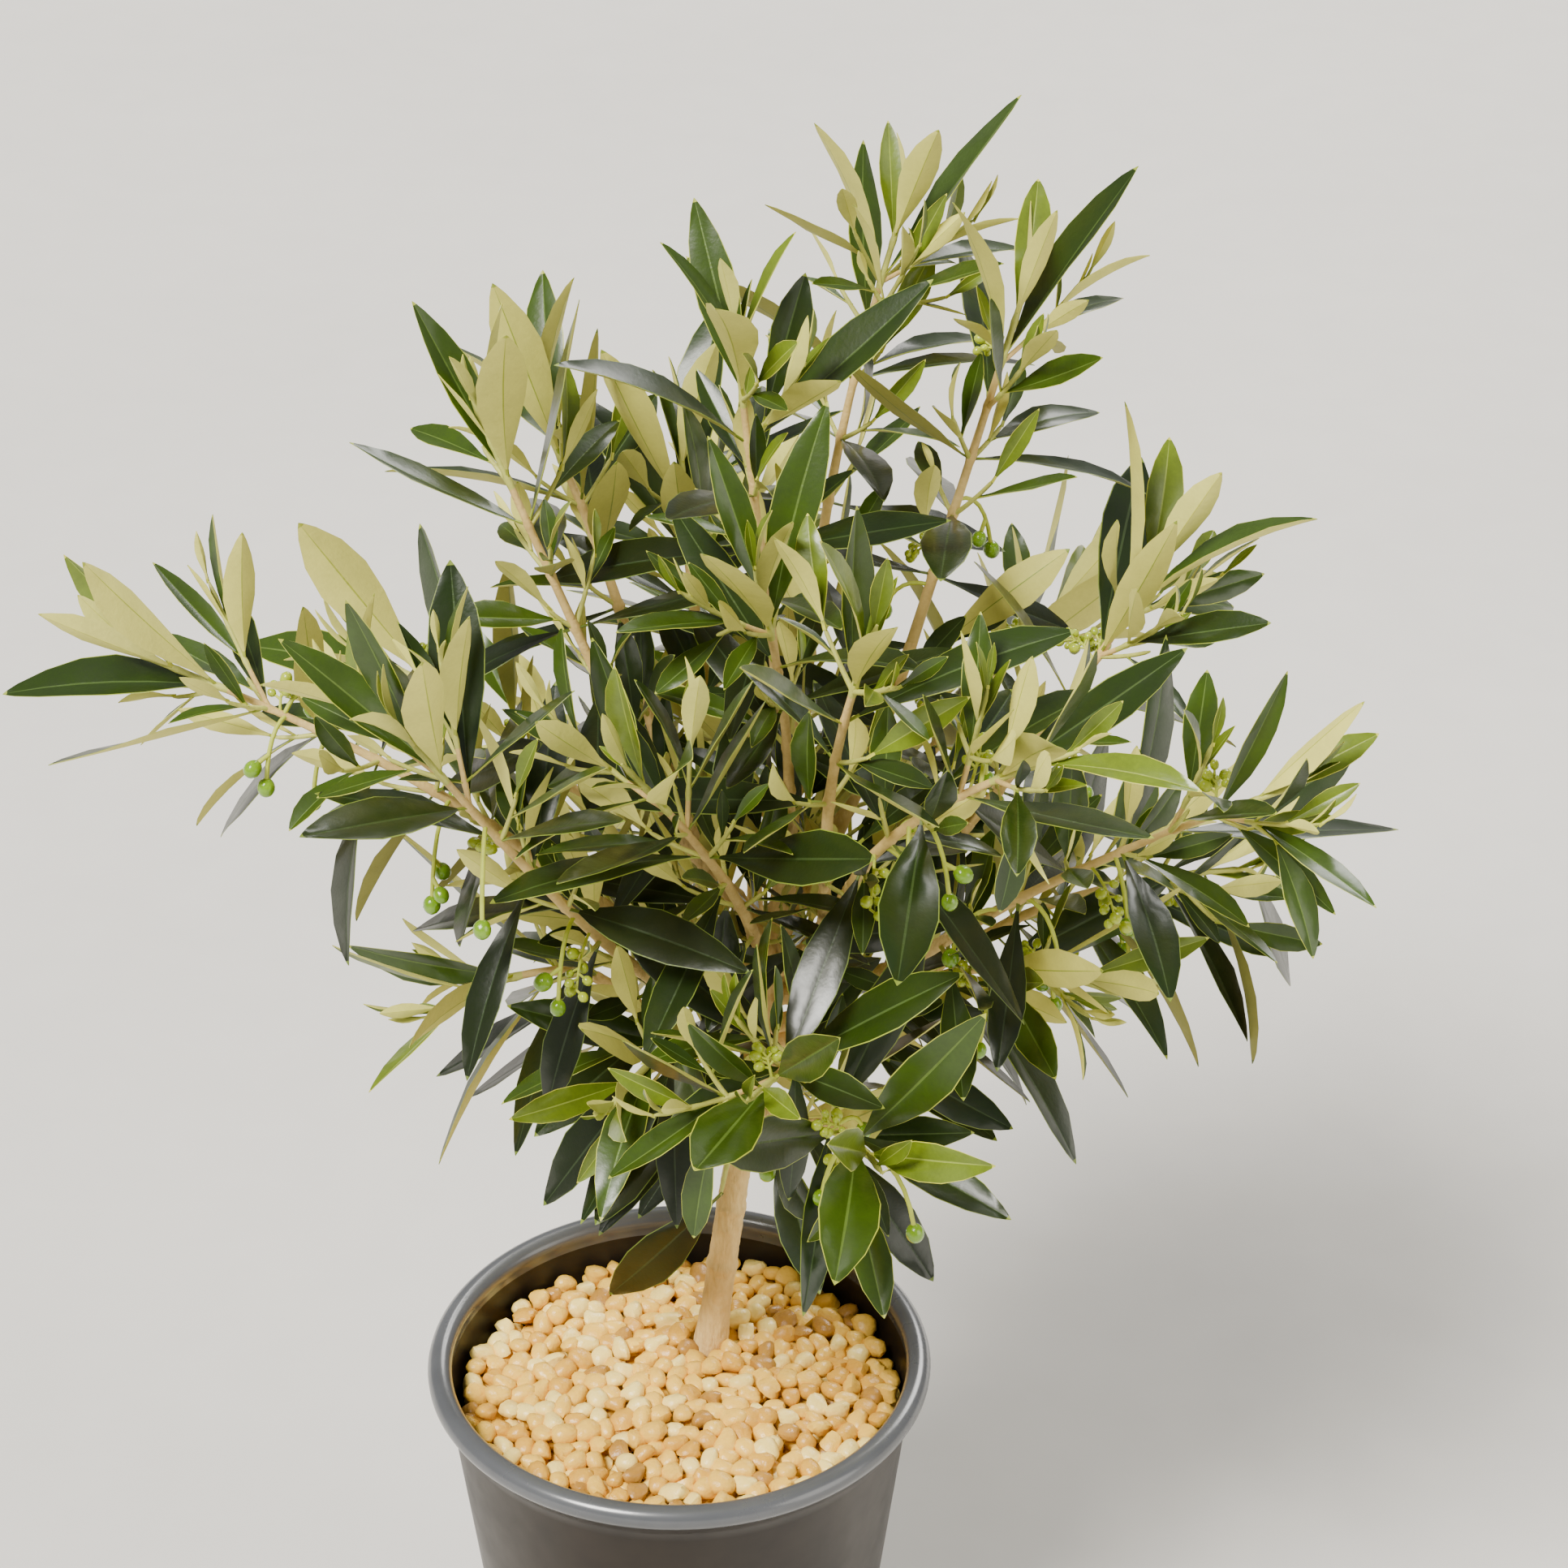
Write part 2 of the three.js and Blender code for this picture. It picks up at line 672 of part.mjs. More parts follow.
// Gravel: stones laid out on a sunflower spiral and fused to a low dome, with a hole for the trunk
function buildGravel() {
  const low = compostTop + clearance;
  const edgeRadius = insideRadius(gravelEdge) - clearance;
  let bed = turnedSolid([
    [0, low], [insideRadius(low) - clearance, low], [edgeRadius, gravelEdge], [0, gravelCrown],
  ]);
  const draw = drawer(gravelSeed);
  const ringRadius = edgeRadius - stoneLength;
  for (let i = 0; i < stoneCount; i++) {
    const share = Math.sqrt((i + 0.5) / stoneCount);
    const angle = radians(sunflowerAngle * i);
    const stone = new THREE.OctahedronGeometry(1, 0);
    stone.scale(stoneLength, stoneLength * (0.75 + 0.2 * draw()), stoneHeight);
    stone.rotateX(spread(draw, 0.4));
    stone.rotateZ(draw() * Math.PI);
    const height = mix(gravelCrown, gravelEdge, share) - stoneSink + spread(draw, 0.6);
    stone.translate(ringRadius * share * Math.cos(angle), ringRadius * share * Math.sin(angle), height);
    bed = bed.add(solidOf(stone));
  }
  return geometryOf(bed.subtract(solidOf(trunkGeometry(limbCut))));
}

function trunkSwell(distance) {
  return flare * Math.exp(-distance / flareFade);
}

function trunkGeometry(extra) {
  return limbGeometry(trunk, trunkSides, trunkSteps, { extra, swell: trunkSwell });
}

// The trunk's foot is cut level, where it stands on the compost
function buildTrunk() {
  const ground = new THREE.BoxGeometry(40, 40, 20);
  ground.translate(trunkFoot.x, trunkFoot.y, compostTop + clearance - 10);
  return geometryOf(solidOf(trunkGeometry(0)).subtract(solidOf(ground)));
}

function buildBough(shoot) {
  let bough = solidOf(limbGeometry(boughs.get(shoot.name), boughSides, boughSteps));
  if (shoot.from !== 'trunk') {
    const parent = limbGeometry(boughs.get(shoot.from), boughSides, boughSteps, { extra: limbCut });
    bough = bough.subtract(solidOf(parent));
  } else if (shoot.at < 1) {
    bough = bough.subtract(solidOf(trunkGeometry(limbCut)));
  }
  return geometryOf(bough);
}

// Leaves of one shoot: its stem and side twigs, with the leaves and olives fused on
function buildLeaves(shoot) {
  const stem = stems.get(shoot.name);
  let mass = solidOf(twigGeometry(stem, stemSteps, shoot.turn));
  for (const twig of twigs.get(shoot.name)) {
    mass = mass.add(solidOf(twigGeometry(twig, twigSteps, shoot.turn + sideTurn)));
  }
  for (const leaf of leaves.filter((grown) => grown.stem === stem)) {
    mass = mass.add(solidOf(leafGeometry(leaf)));
  }
  for (const fruit of fruits.filter((hung) => hung.stem === stem)) {
    const olive = new THREE.IcosahedronGeometry(oliveRadius, 0);
    olive.translate(fruit.centre.x, fruit.centre.y, fruit.centre.z);
    mass = mass.add(solidOf(limbGeometry(fruit.stalk, stalkSides, stalkSteps))).add(solidOf(olive));
  }
  return geometryOf(mass);
}

addMesh('pot', buildPot(), potGrey, 0.35);
addMesh('root_ball', buildCompost(), compostBrown, 1);
addMesh('gravel', buildGravel(), gravelSand, 0.9);
addMesh('trunk', buildTrunk(), barkTan, 0.85);
for (const shoot of shoots) {
  addMesh(`bough_${shoot.name}`, buildBough(shoot), barkTan, 0.85);
}
for (const shoot of shoots) {
  addMesh(`leaves_${shoot.name}`, buildLeaves(shoot), leafGreen, 0.5);
}

export default group;
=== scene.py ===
"""Looks of a young olive tree in a grow pot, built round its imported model.

The growing rule is the one that made the solids, so each limb and leaf lies where its solid lies.
Sizes are in millimetres and become metres where a mesh is made. Turns, leans and openings are in
degrees.
"""

import json
import math
from collections import namedtuple

import bpy
import numpy as np
from mathutils import Euler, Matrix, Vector

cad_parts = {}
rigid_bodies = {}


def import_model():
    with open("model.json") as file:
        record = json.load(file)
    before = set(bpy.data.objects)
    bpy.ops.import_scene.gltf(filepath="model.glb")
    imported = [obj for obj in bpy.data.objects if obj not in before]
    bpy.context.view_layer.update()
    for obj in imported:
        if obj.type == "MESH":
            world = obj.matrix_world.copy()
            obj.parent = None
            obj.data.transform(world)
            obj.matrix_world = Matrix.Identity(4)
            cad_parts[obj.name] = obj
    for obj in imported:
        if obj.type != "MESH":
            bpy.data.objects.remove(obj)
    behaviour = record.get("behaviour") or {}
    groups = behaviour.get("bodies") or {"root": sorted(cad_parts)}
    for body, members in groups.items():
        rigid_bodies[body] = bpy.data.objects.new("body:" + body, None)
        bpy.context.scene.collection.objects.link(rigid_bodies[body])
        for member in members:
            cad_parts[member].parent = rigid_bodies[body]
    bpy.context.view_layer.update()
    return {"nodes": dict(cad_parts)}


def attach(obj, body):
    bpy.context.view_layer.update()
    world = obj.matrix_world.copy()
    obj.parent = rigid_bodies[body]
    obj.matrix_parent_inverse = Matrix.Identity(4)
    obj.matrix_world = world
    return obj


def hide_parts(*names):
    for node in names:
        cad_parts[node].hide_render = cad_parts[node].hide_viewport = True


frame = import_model()
MM = 0.001

# Pot, compost and gravel
POT_HEIGHT = 128
RIM_RADIUS = 70
FOOT_RADIUS = 50
SHOULDER_RADIUS = 64.6
SHOULDER_HEIGHT = 117
POT_WALL = 1.4
POT_FLOOR = 2
POT_SIDES = 128
HOLE_COUNT = 6
HOLE_RADIUS = 4
HOLE_CIRCLE = 34
CLEARANCE = 0.3
COMPOST_TOP = 104
GRAVEL_EDGE = 113
GRAVEL_CROWN = 115.5

# Trunk
TRUNK_FOOT = np.array([6.6, 20, COMPOST_TOP - 4])
TRUNK_MIDDLE = np.array([14.5, 19, 170])
TRUNK_TOP = np.array([28, 16, 262])
TRUNK_RADIUS = 4.5
TRUNK_TOP_RADIUS = 3.4
FLARE = 1.7

# Boughs and shoot stems
CROWN_AXIS = np.array([26, 17])
BOUGH_TIP_RADIUS = 1.7
BOUGH_SHARE = 0.8
BOUGH_BOW = 0.07
STEM_ROOT_RADIUS = 1.615
STEM_TIP_RADIUS = 0.7
STEM_LEAD = 0.42

# Side twigs
SIDE_LENGTH = 20
SIDE_LENGTH_RANGE = 16
SIDE_LEAN = 42
SIDE_LEAN_SPREAD = 8
SIDE_RISE = 0.16
SIDE_ROOT_SHARE = 0.75
SIDE_TIP_RADIUS = 0.56
SIDE_GAP = 3
SIDE_TURN = 45
SIDE_LEAF_SCALE = 0.66
YOUNGEST_SIDE_TWIG = 2
OLDEST_SIDE_TWIG = 5

# Leaf pairs along a twig. A pair's age counts the pairs between it and the tip.
FIRST_NODE = 4
NODE_STEP = 6.8
NODE_GROWTH = 1
BARE_FOOT = 5
ANGLE_SPREAD = 12
OPEN_TIP = 13
OPEN_STEP = 6
OPEN_GROWTH = 1.6
OPEN_MOST = 80
OPEN_SPREAD = 8

# Leaves
LEAF_LENGTH = 57
LEAF_SLIMNESS = 4.1
LEAF_ROUNDNESS = 0.75
LEAF_SINK = 0.35
TIP_LEAF_SIZE = 0.38
LEAF_SIZE_STEP = 0.34
FULL_AGE = 3
OLD_LEAF_LOSS = 0.03
LENGTH_SPREAD = 0.13
WIDTH_SPREAD = 0.16
BEND = 8
BEND_SPREAD = 20
ROLL_SPREAD = 22
TIP_LIFT = 0.42
LIFT_LOSS = 0.13
FACE_UP = 0.1
FACE_UP_STEP = 0.14
FACE_UP_MOST = 0.9

# Room that is kept round leaves and limbs
MASS_REACH = 66
LEAF_GAP = 1.8
LIMB_GAP = 1.2
POT_GAP = 4

# Olives
OLIVE_RADIUS = 2.6
STALK_RADIUS = 0.6
STALK_LENGTH = 11
STALK_LENGTH_RANGE = 13
STALK_OUT = 0.55
STALK_TURN_OUT = 0.2
STALK_DROP = 0.6
LOWEST_OLIVE = 0.12
OLIVE_RANGE = 0.6
OLIVE_TRIES = 24
OLIVE_HANG = 0.7

# Each shoot leaves its parent at a share of the parent's length. Its bare bough ends, and its leafy
# stem ends, at a heading in degrees round the crown's axis, a reach from that axis and a height. Then
# come the turn of its first leaf pair in degrees, its side twigs and its olives.
Shoot = namedtuple("Shoot", "name parent at bough_end stem_end turn twigs olives")
SHOOTS = [Shoot(*row) for row in [
    ("front_low_right", "trunk", 0.665, (282, 56, 232), (284, 112, 256), 60, 1, 3),
    ("left_low", "trunk", 0.695, (166, 42, 230), (178, 94, 226), 20, 1, 0),
    ("rear_low", "trunk", 0.745, (112, 48, 234), (118, 108, 250), 50, 1, 0),
    ("front_left_low", "trunk", 0.72, (236, 34, 238), (240, 84, 248), 80, 1, 0),
    ("front_low", "trunk", 0.76, (276, 44, 244), (267, 116, 282), 35, 2, 1),
    ("right_low", "trunk", 0.755, (8, 52, 246), (4, 128, 270), 15, 1, 1),
    ("right_front_low", "trunk", 0.8, (343, 42, 248), (338, 98, 260), 70, 1, 1),
    ("rear", "trunk", 0.8, (96, 58, 266), (98, 140, 318), 0, 1, 1),
    ("rear_right", "trunk", 0.84, (54, 58, 266), (50, 134, 304), 45, 1, 1),
    ("left_front", "trunk", 0.835, (228, 54, 272), (222, 122, 370), 20, 2, 1),
    ("rear_left", "trunk", 0.86, (146, 54, 270), (152, 130, 308), 75, 1, 1),
    ("right_far", "trunk", 0.85, (330, 54, 272), (339, 142, 333), 30, 2, 2),
    ("left_far", "trunk", 0.895, (200, 62, 290), (186, 164, 352), 60, 2, 3),
    ("right_front", "trunk", 0.9, (294, 50, 300), (311, 112, 362), 10, 2, 4),
    ("right_rear", "trunk", 0.88, (18, 56, 280), (20, 112, 354), 80, 2, 1),
    ("front_left_inner", "trunk", 0.94, (260, 32, 278), (246, 88, 356), 0, 2, 0),
    ("rear_high", "trunk", 0.91, (78, 52, 324), (68, 96, 430), 50, 2, 0),
    ("left_high", "trunk", 0.96, (184, 38, 318), (173, 76, 410), 25, 1, 0),
    ("right_high", "trunk", 0.945, (42, 50, 326), (42, 90, 420), 65, 2, 1),
    ("crown_centre", "trunk", 1, (60, 3, 330), (143, 12, 434), 15, 2, 0),
    ("front_centre", "crown_centre", 0.25, (285, 17, 308), (264, 40, 388), 55, 1, 0),
    ("front_right_inner", "right_front", 0.6, (286, 50, 316), (290, 74, 388), 85, 1, 0),
    ("rear_left_inner", "rear_high", 0.35, (116, 36, 312), (115, 56, 382), 5, 1, 0),
    ("rear_left_high", "left_high", 0.4, (146, 44, 326), (144, 80, 396), 40, 1, 0),
]]

# First seed of each kind of draw, and the step from one shoot's seed to the next
TWIG_SEED = (1000, 77)
LEAF_SEED = (5000, 131)
OLIVE_SEED = (9000, 53)
STRING_SEED = (25000, 61)
DROOP_SEED = (29000, 67)
TUFT_SEED = (13000, 37)
BUD_SEED = (21000, 29)
CLUSTER_SEED = (17000, 41)
SPRAY_SEED = (700, 1)

UP = np.array([0.0, 0.0, 1.0])
GOLDEN_ANGLE = 137.5


def unit(vector):
    return vector / np.linalg.norm(vector)


def mix(a, b, share):
    return a + (b - a) * share


DRAW_FACTOR = 1664525
DRAW_STEP = 1013904223
DRAW_STATES = 2 ** 32


def drawer(seed):
    """A small repeatable random draw between 0 and 1."""
    state = seed

    def draw():
        nonlocal state
        state = (state * DRAW_FACTOR + DRAW_STEP) % DRAW_STATES
        return state / DRAW_STATES

    return draw


def drawer_of(seed, index):
    return drawer(seed[0] + index * seed[1])


def spread(draw, width):
    return (draw() * 2 - 1) * width


def crown_point(place):
    heading, reach, height = place
    angle = math.radians(heading)
    return np.array([
        CROWN_AXIS[0] + reach * math.cos(angle),
        CROWN_AXIS[1] + reach * math.sin(angle),
        height,
    ])


LIMB_STEPS = 12
TANGENT_STEP = 0.0001


class Limb:
    """A curve with a radius at each end."""

    def __init__(self, start, middle, end, start_radius, end_radius):
        self.start = start
        self.middle = middle
        self.end = end
        self.start_radius = start_radius
        self.end_radius = end_radius
        run = end - start
        self.level = unit(np.array([-run[1], run[0], 0]))
        self.points = np.array([self.point(i / LIMB_STEPS) for i in range(LIMB_STEPS + 1)])
        self.runs = np.diff(self.points, axis=0)
        self.length = float(np.linalg.norm(self.runs, axis=1).sum())
        shares = (np.arange(LIMB_STEPS) + 0.5) / LIMB_STEPS
        self.radii = mix(start_radius, end_radius, shares)
        self.squares = (self.runs ** 2).sum(axis=1)
        self.body = self.points
        self.thickness = max(start_radius, end_radius)

    def point(self, t):
        return (1 - t) ** 2 * self.start + 2 * (1 - t) * t * self.middle + t ** 2 * self.end

    def radius(self, t):
        return mix(self.start_radius, self.end_radius, t)

    def tangent(self, t):
        before = max(t - TANGENT_STEP, 0)
        after = min(t + TANGENT_STEP, 1)
        return unit(self.point(after) - self.point(before))

    def frame(self, t):
        """The point at t, with directions along the limb, to its level side and up from it."""
        along = self.tangent(t)
        side = unit(self.level - self.level.dot(along) * along)
        return self.point(t), along, side, np.cross(along, side)

    def gaps(self, points):
        """How far each point lies from the limb's surface."""
        away = points[:, None] - self.points[:-1]
        shares = np.clip((away * self.runs).sum(axis=2) / self.squares, 0, 1)
        distances = np.linalg.norm(away - shares[..., None] * self.runs, axis=2)
        return (distances - self.radii).min(axis=1)


def around(side, lift, angle):
    return side * math.cos(angle) + lift * math.sin(angle)


class Crowd:
    """Limbs or leaves, with a ball round each, so that only those near some points are looked at."""

    def __init__(self, members=()):
        self.members = []
        self.centres = np.empty((0, 3))
        self.reaches = np.empty(0)
        for member in members:
            self.add(member)

    def add(self, member):
        centre = member.body.mean(axis=0)
        self.members.append(member)
        self.centres = np.vstack([self.centres, centre])
        reach = np.linalg.norm(member.body - centre, axis=1).max() + member.thickness
        self.reaches = np.append(self.reaches, reach)

    def near(self, points, room):
        """The members whose balls come within some room of the ball round these points."""
        centre = points.mean(axis=0)
        reach = np.linalg.norm(points - centre, axis=1).max() + room
        apart = np.linalg.norm(self.centres - centre, axis=1)
        return [self.members[i] for i in np.nonzero(apart < self.reaches + reach)[0]]


def lead_on(parent, end, root_radius, tip_radius):
    """A limb that goes on from the tip of another, just clear of it."""
    point, along, _, _ = parent.frame(1)
    start = point + along * CLEARANCE
    middle = start + along * np.linalg.norm(end - start) * STEM_LEAD
    return Limb(start, middle, end, root_radius, tip_radius)


def grow_bough(shoot, parent):
    end = crown_point(shoot.bough_end)
    if shoot.at == 1:
        return lead_on(parent, end, TRUNK_TOP_RADIUS, BOUGH_TIP_RADIUS)
    root = parent.point(shoot.at)
    span = np.linalg.norm(end - root)
    outward = unit((end - root) * (1, 1, 0))
    middle = (root + end) / 2 + outward * span * BOUGH_BOW - UP * span * BOUGH_BOW
    root_radius = max(BOUGH_SHARE * parent.radius(shoot.at), BOUGH_TIP_RADIUS)
    return Limb(root, middle, end, root_radius, BOUGH_TIP_RADIUS)


def grow_stem(shoot, bough):
    return lead_on(bough, crown_point(shoot.stem_end), STEM_ROOT_RADIUS, STEM_TIP_RADIUS)


trunk = Limb(TRUNK_FOOT, TRUNK_MIDDLE, TRUNK_TOP, TRUNK_RADIUS, TRUNK_TOP_RADIUS)
boughs = {}
for shoot in sorted(SHOOTS, key=lambda shoot: shoot.parent != "trunk"):
    boughs[shoot.name] = grow_bough(shoot, boughs.get(shoot.parent, trunk))
stems = {shoot.name: grow_stem(shoot, boughs[shoot.name]) for shoot in SHOOTS}
limbs = Crowd([trunk, *boughs.values(), *stems.values()])
leaves = Crowd()


def drawn_shoots(seed):
    """Each shoot with its leafy stem and a random draw of its own."""
    for index, shoot in enumerate(SHOOTS):
        yield shoot, stems[shoot.name], drawer_of(seed, index)


def leaf_nodes(twig):
    """The pairs of leaves on a twig, from its tip down, as age and place."""
    nodes = []
    from_tip = FIRST_NODE
    while from_tip <= twig.length - BARE_FOOT:
        nodes.append((len(nodes), 1 - from_tip / twig.length))
        age = len(nodes)
        from_tip = FIRST_NODE + age * NODE_STEP + age * age * NODE_GROWTH
    return nodes


FIRST_CLEAR_POINT = 3


def branch_off(limb, t, turn, lean, length, radii):
    """A twig that leaves a limb at a turn round it and a lean from it, and rises a little."""
    root, along, side, lift = limb.frame(t)
    outward = around(side, lift, math.radians(turn))
    lean = math.radians(lean)
    heading = along * math.cos(lean) + outward * math.sin(lean)
    end = root + heading * length + UP * length * SIDE_RISE
    return Limb(root, root + heading * length / 2, end, *radii)


def grow_side_twig(stem, t, turn, draw):
    length = SIDE_LENGTH + SIDE_LENGTH_RANGE * draw()
    lean = SIDE_LEAN + spread(draw, SIDE_LEAN_SPREAD)
    return branch_off(stem, t, turn, lean, length, (stem.radius(t) * SIDE_ROOT_SHARE, SIDE_TIP_RADIUS))


def twig_is_clear(twig, stem):
    free = twig.points[FIRST_CLEAR_POINT:]
    for limb in limbs.near(free, SIDE_GAP):
        if limb.gaps(free).min() < (LIMB_GAP if limb is stem else SIDE_GAP):
            return False
    return True


side_twigs = {}
for shoot, stem, draw in drawn_shoots(TWIG_SEED):
    grown = []
    for age, t in leaf_nodes(stem):
        turn = shoot.turn + 90 * age + (age % 2) * 180 + spread(draw, ANGLE_SPREAD)
        twig = grow_side_twig(stem, t, turn, draw)
        in_turn = YOUNGEST_SIDE_TWIG <= age <= OLDEST_SIDE_TWIG and len(grown) < shoot.twigs
        if in_turn and twig_is_clear(twig, stem):
            grown.append(twig)
            limbs.add(twig)
    side_twigs[shoot.name] = grown


SAMPLE_SHARES = np.arange(2, 19) / 18
SAMPLE_SIDES = np.array([-1, -0.5, 0, 0.5, 1])
OWN_TWIG_SAMPLES = 4 * len(SAMPLE_SIDES)
BLADE_START = 0.1
BLADE_END = 1.03

# What a leaf grows from: its twig and that twig's shoot stem, its place and age there, its turn round
# the twig, how far it opens from it, its length, and its look. The look is its own shares of the usual
# length and width, and its bend and roll in radians.
Bud = namedtuple("Bud", "twig stem t age turn opening size look")


class Leaf:
    """A leaf whose midrib is an arc that leaves the twig along its axis and bends to its underside."""

    def __init__(self, bud, turn_by=0, open_by=0, shrink=1):
        length_share, width_share, self.bend, roll = bud.look
        opening = math.radians(bud.opening + open_by)
        point, along, side, lift = bud.twig.frame(bud.t)
        outward = around(side, lift, math.radians(bud.turn + turn_by))
        axis = along * math.cos(opening) + outward * math.sin(opening)
        inner = along * math.sin(opening) - outward * math.cos(opening)
        self.axis = unit(axis + UP * (TIP_LIFT - LIFT_LOSS * bud.age))
        inner = inner + UP * min(FACE_UP_MOST, FACE_UP + FACE_UP_STEP * bud.age)
        across = unit(np.cross(inner, self.axis))
        self.across = across * math.cos(roll) + np.cross(self.axis, across) * math.sin(roll)
        self.normal = np.cross(self.axis, self.across)
        self.root = point - outward * bud.twig.radius(bud.t) * LEAF_SINK
        self.twig = bud.twig
        self.stem = bud.stem
        self.age = bud.age
        self.length = bud.size * shrink * length_share
        self.width = self.length / LEAF_SLIMNESS * width_share
        self.tip = self.midrib(1)
        chord = self.tip - self.root
        self.chord = np.linalg.norm(chord)
        self.chord_axis = chord / self.chord
        self.chord_normal = unit(self.normal - self.normal.dot(self.chord_axis) * self.chord_axis)
        self.arch = self.length * math.tan(self.bend / 4) / 2
        centres = self.midrib(SAMPLE_SHARES[:, None])
        reaches = self.half_width(SAMPLE_SHARES)[:, None] * SAMPLE_SIDES
        self.samples = (centres[:, None] + reaches[..., None] * self.across).reshape(-1, 3)
        self.body = np.vstack([self.root, self.samples, self.tip])
        self.thickness = LEAF_GAP

    def midrib(self, share):
        turn = self.bend * share
        forward = self.length * np.sin(turn) / self.bend
        down = self.length * (1 - np.cos(turn)) / self.bend
        return self.root + self.axis * forward - self.normal * down

    def half_width(self, share):
        inside = np.clip(share, 0, 1)
        return self.width / 2 * np.abs(np.sin(math.pi * inside)) ** LEAF_ROUNDNESS

    def blade_is_near(self, points, gap):
        away = points - self.root
        share = away @ self.chord_axis / self.chord
        height = away @ self.chord_normal - self.arch * 4 * share * (1 - share)
        aside = np.abs(away @ self.across)
        beside = (share > BLADE_START) & (share < BLADE_END)
        return bool((beside & (np.abs(height) < gap) & (aside < self.half_width(share) + gap)).any())


def in_pot(points):
    from_axis = np.hypot(points[:, 0], points[:, 1])
    return (points[:, 2] < POT_HEIGHT + POT_GAP) & (from_axis < RIM_RADIUS + POT_GAP)


def leaf_is_clear(leaf, leaf_gap, limb_gap):
    if leaf.stem.gaps(leaf.tip[None])[0] > MASS_REACH or in_pot(leaf.samples).any():
        return False
    for limb in limbs.near(leaf.samples, limb_gap):
        points = leaf.samples[OWN_TWIG_SAMPLES:] if limb is leaf.twig else leaf.samples
        if limb.gaps(points).min() < limb_gap:
            return False
    for other in leaves.near(leaf.body, leaf_gap):
        if other.blade_is_near(leaf.samples, leaf_gap) or leaf.blade_is_near(other.samples, leaf_gap):
            return False
    return True


# Each try turns a leaf round its twig and opens it by some degrees, and shrinks it
LEAF_TRIES = [
    (0, 0, 1), (20, 5, 1), (-20, 5, 1), (36, -10, 0.95), (-36, -10, 0.95),
    (0, -18, 0.85), (28, 14, 0.8), (-28, 14, 0.8),
]
ONE_TRY = [(0, 0, 1)]


def grow_leaf(bud, tries, leaf_gap, limb_gap):
    """Grows a leaf by the first of some tries that finds it room, and says whether one did."""
    for turn_by, open_by, shrink in tries:
        leaf = Leaf(bud, turn_by, open_by, shrink)
        if leaf_is_clear(leaf, leaf_gap, limb_gap):
            leaves.add(leaf)
            return True
    return False


def bend_and_roll(draw):
    return math.radians(BEND + spread(draw, BEND_SPREAD)), math.radians(spread(draw, ROLL_SPREAD))


def grow_leaf_pair(twig, stem, node, turn, scale, draw):
    """Grows up to two leaves, and returns the buds of those that found no room."""
    age, t = node
    bare = []
    for half in (0, 1):
        leaf_turn = turn + 90 * age + 180 * half + spread(draw, ANGLE_SPREAD)
        opening = min(OPEN_MOST, OPEN_TIP + OPEN_STEP * age + OPEN_GROWTH * age * age)
        opening += spread(draw, OPEN_SPREAD)
        grown = min(1, TIP_LEAF_SIZE + LEAF_SIZE_STEP * age)
        aged = 1 - OLD_LEAF_LOSS * max(0, age - FULL_AGE)
        look = (1 + spread(draw, LENGTH_SPREAD), 1 + spread(draw, WIDTH_SPREAD), *bend_and_roll(draw))
        bud = Bud(twig, stem, t, age, leaf_turn, opening, LEAF_LENGTH * grown * aged * scale, look)
        if not grow_leaf(bud, LEAF_TRIES, LEAF_GAP, LIMB_GAP):
            bare.append(bud)
    return bare


bare_buds = []
for shoot, stem, draw in drawn_shoots(LEAF_SEED):
    for node in leaf_nodes(stem):
        bare_buds += grow_leaf_pair(stem, stem, node, shoot.turn, 1, draw)
    side_turn = shoot.turn + SIDE_TURN
    for twig in side_twigs[shoot.name]:
        for node in leaf_nodes(twig):
            bare_buds += grow_leaf_pair(twig, stem, node, side_turn, SIDE_LEAF_SCALE, draw)


def hang_stalk(point, outward, length, out, turn_out, drop):
    """A stalk that leaves its stem outwards and then hangs down, by shares of its length."""
    middle = point + outward * length * out
    end = middle + outward * length * turn_out - UP * length * drop
    return Limb(point, middle, end, STALK_RADIUS, STALK_RADIUS)


def olive_centre(stalk):
    return stalk.end + stalk.tangent(1) * OLIVE_RADIUS * OLIVE_HANG


def olive_is_clear(centre, stalk, stem):
    if in_pot(centre[None]).any():
        return False
    for limb in limbs.near(np.vstack([stalk.points, centre]), OLIVE_RADIUS + LIMB_GAP):
        if limb.gaps(centre[None])[0] < OLIVE_RADIUS + LIMB_GAP:
            return False
        if limb is not stem and limb.gaps(stalk.points).min() < STALK_RADIUS + LIMB_GAP:
            return False
    if any(np.linalg.norm(other - centre) < OLIVE_RADIUS * 2 + LIMB_GAP for _, other in olives):
        return False
    free = stalk.points[FIRST_CLEAR_POINT:]
    return not any(
        leaf.blade_is_near(centre[None], OLIVE_RADIUS + LIMB_GAP)
        or leaf.blade_is_near(free, STALK_RADIUS + LIMB_GAP)
        for leaf in leaves.near(np.vstack([free, centre]), OLIVE_RADIUS + LIMB_GAP)
    )


olives = []
for shoot, stem, draw in drawn_shoots(OLIVE_SEED):
    hung = 0
    for _ in range(OLIVE_TRIES):
        if hung == shoot.olives:
            break
        point, _, side, lift = stem.frame(LOWEST_OLIVE + OLIVE_RANGE * draw())
        outward = around(side, lift, draw() * math.pi * 2)
        length = STALK_LENGTH + STALK_LENGTH_RANGE * draw()
        stalk = hang_stalk(point, outward, length, STALK_OUT, STALK_TURN_OUT, STALK_DROP)
        centre = olive_centre(stalk)
        if olive_is_clear(centre, stalk, stem):
            olives.append((stalk, centre))
            hung += 1


# Finer growth that the solids leave out. It keeps clear of what has grown, but by less.
SMALL_GAP = 0.7
SMALL_LIMB_GAP = 0.5


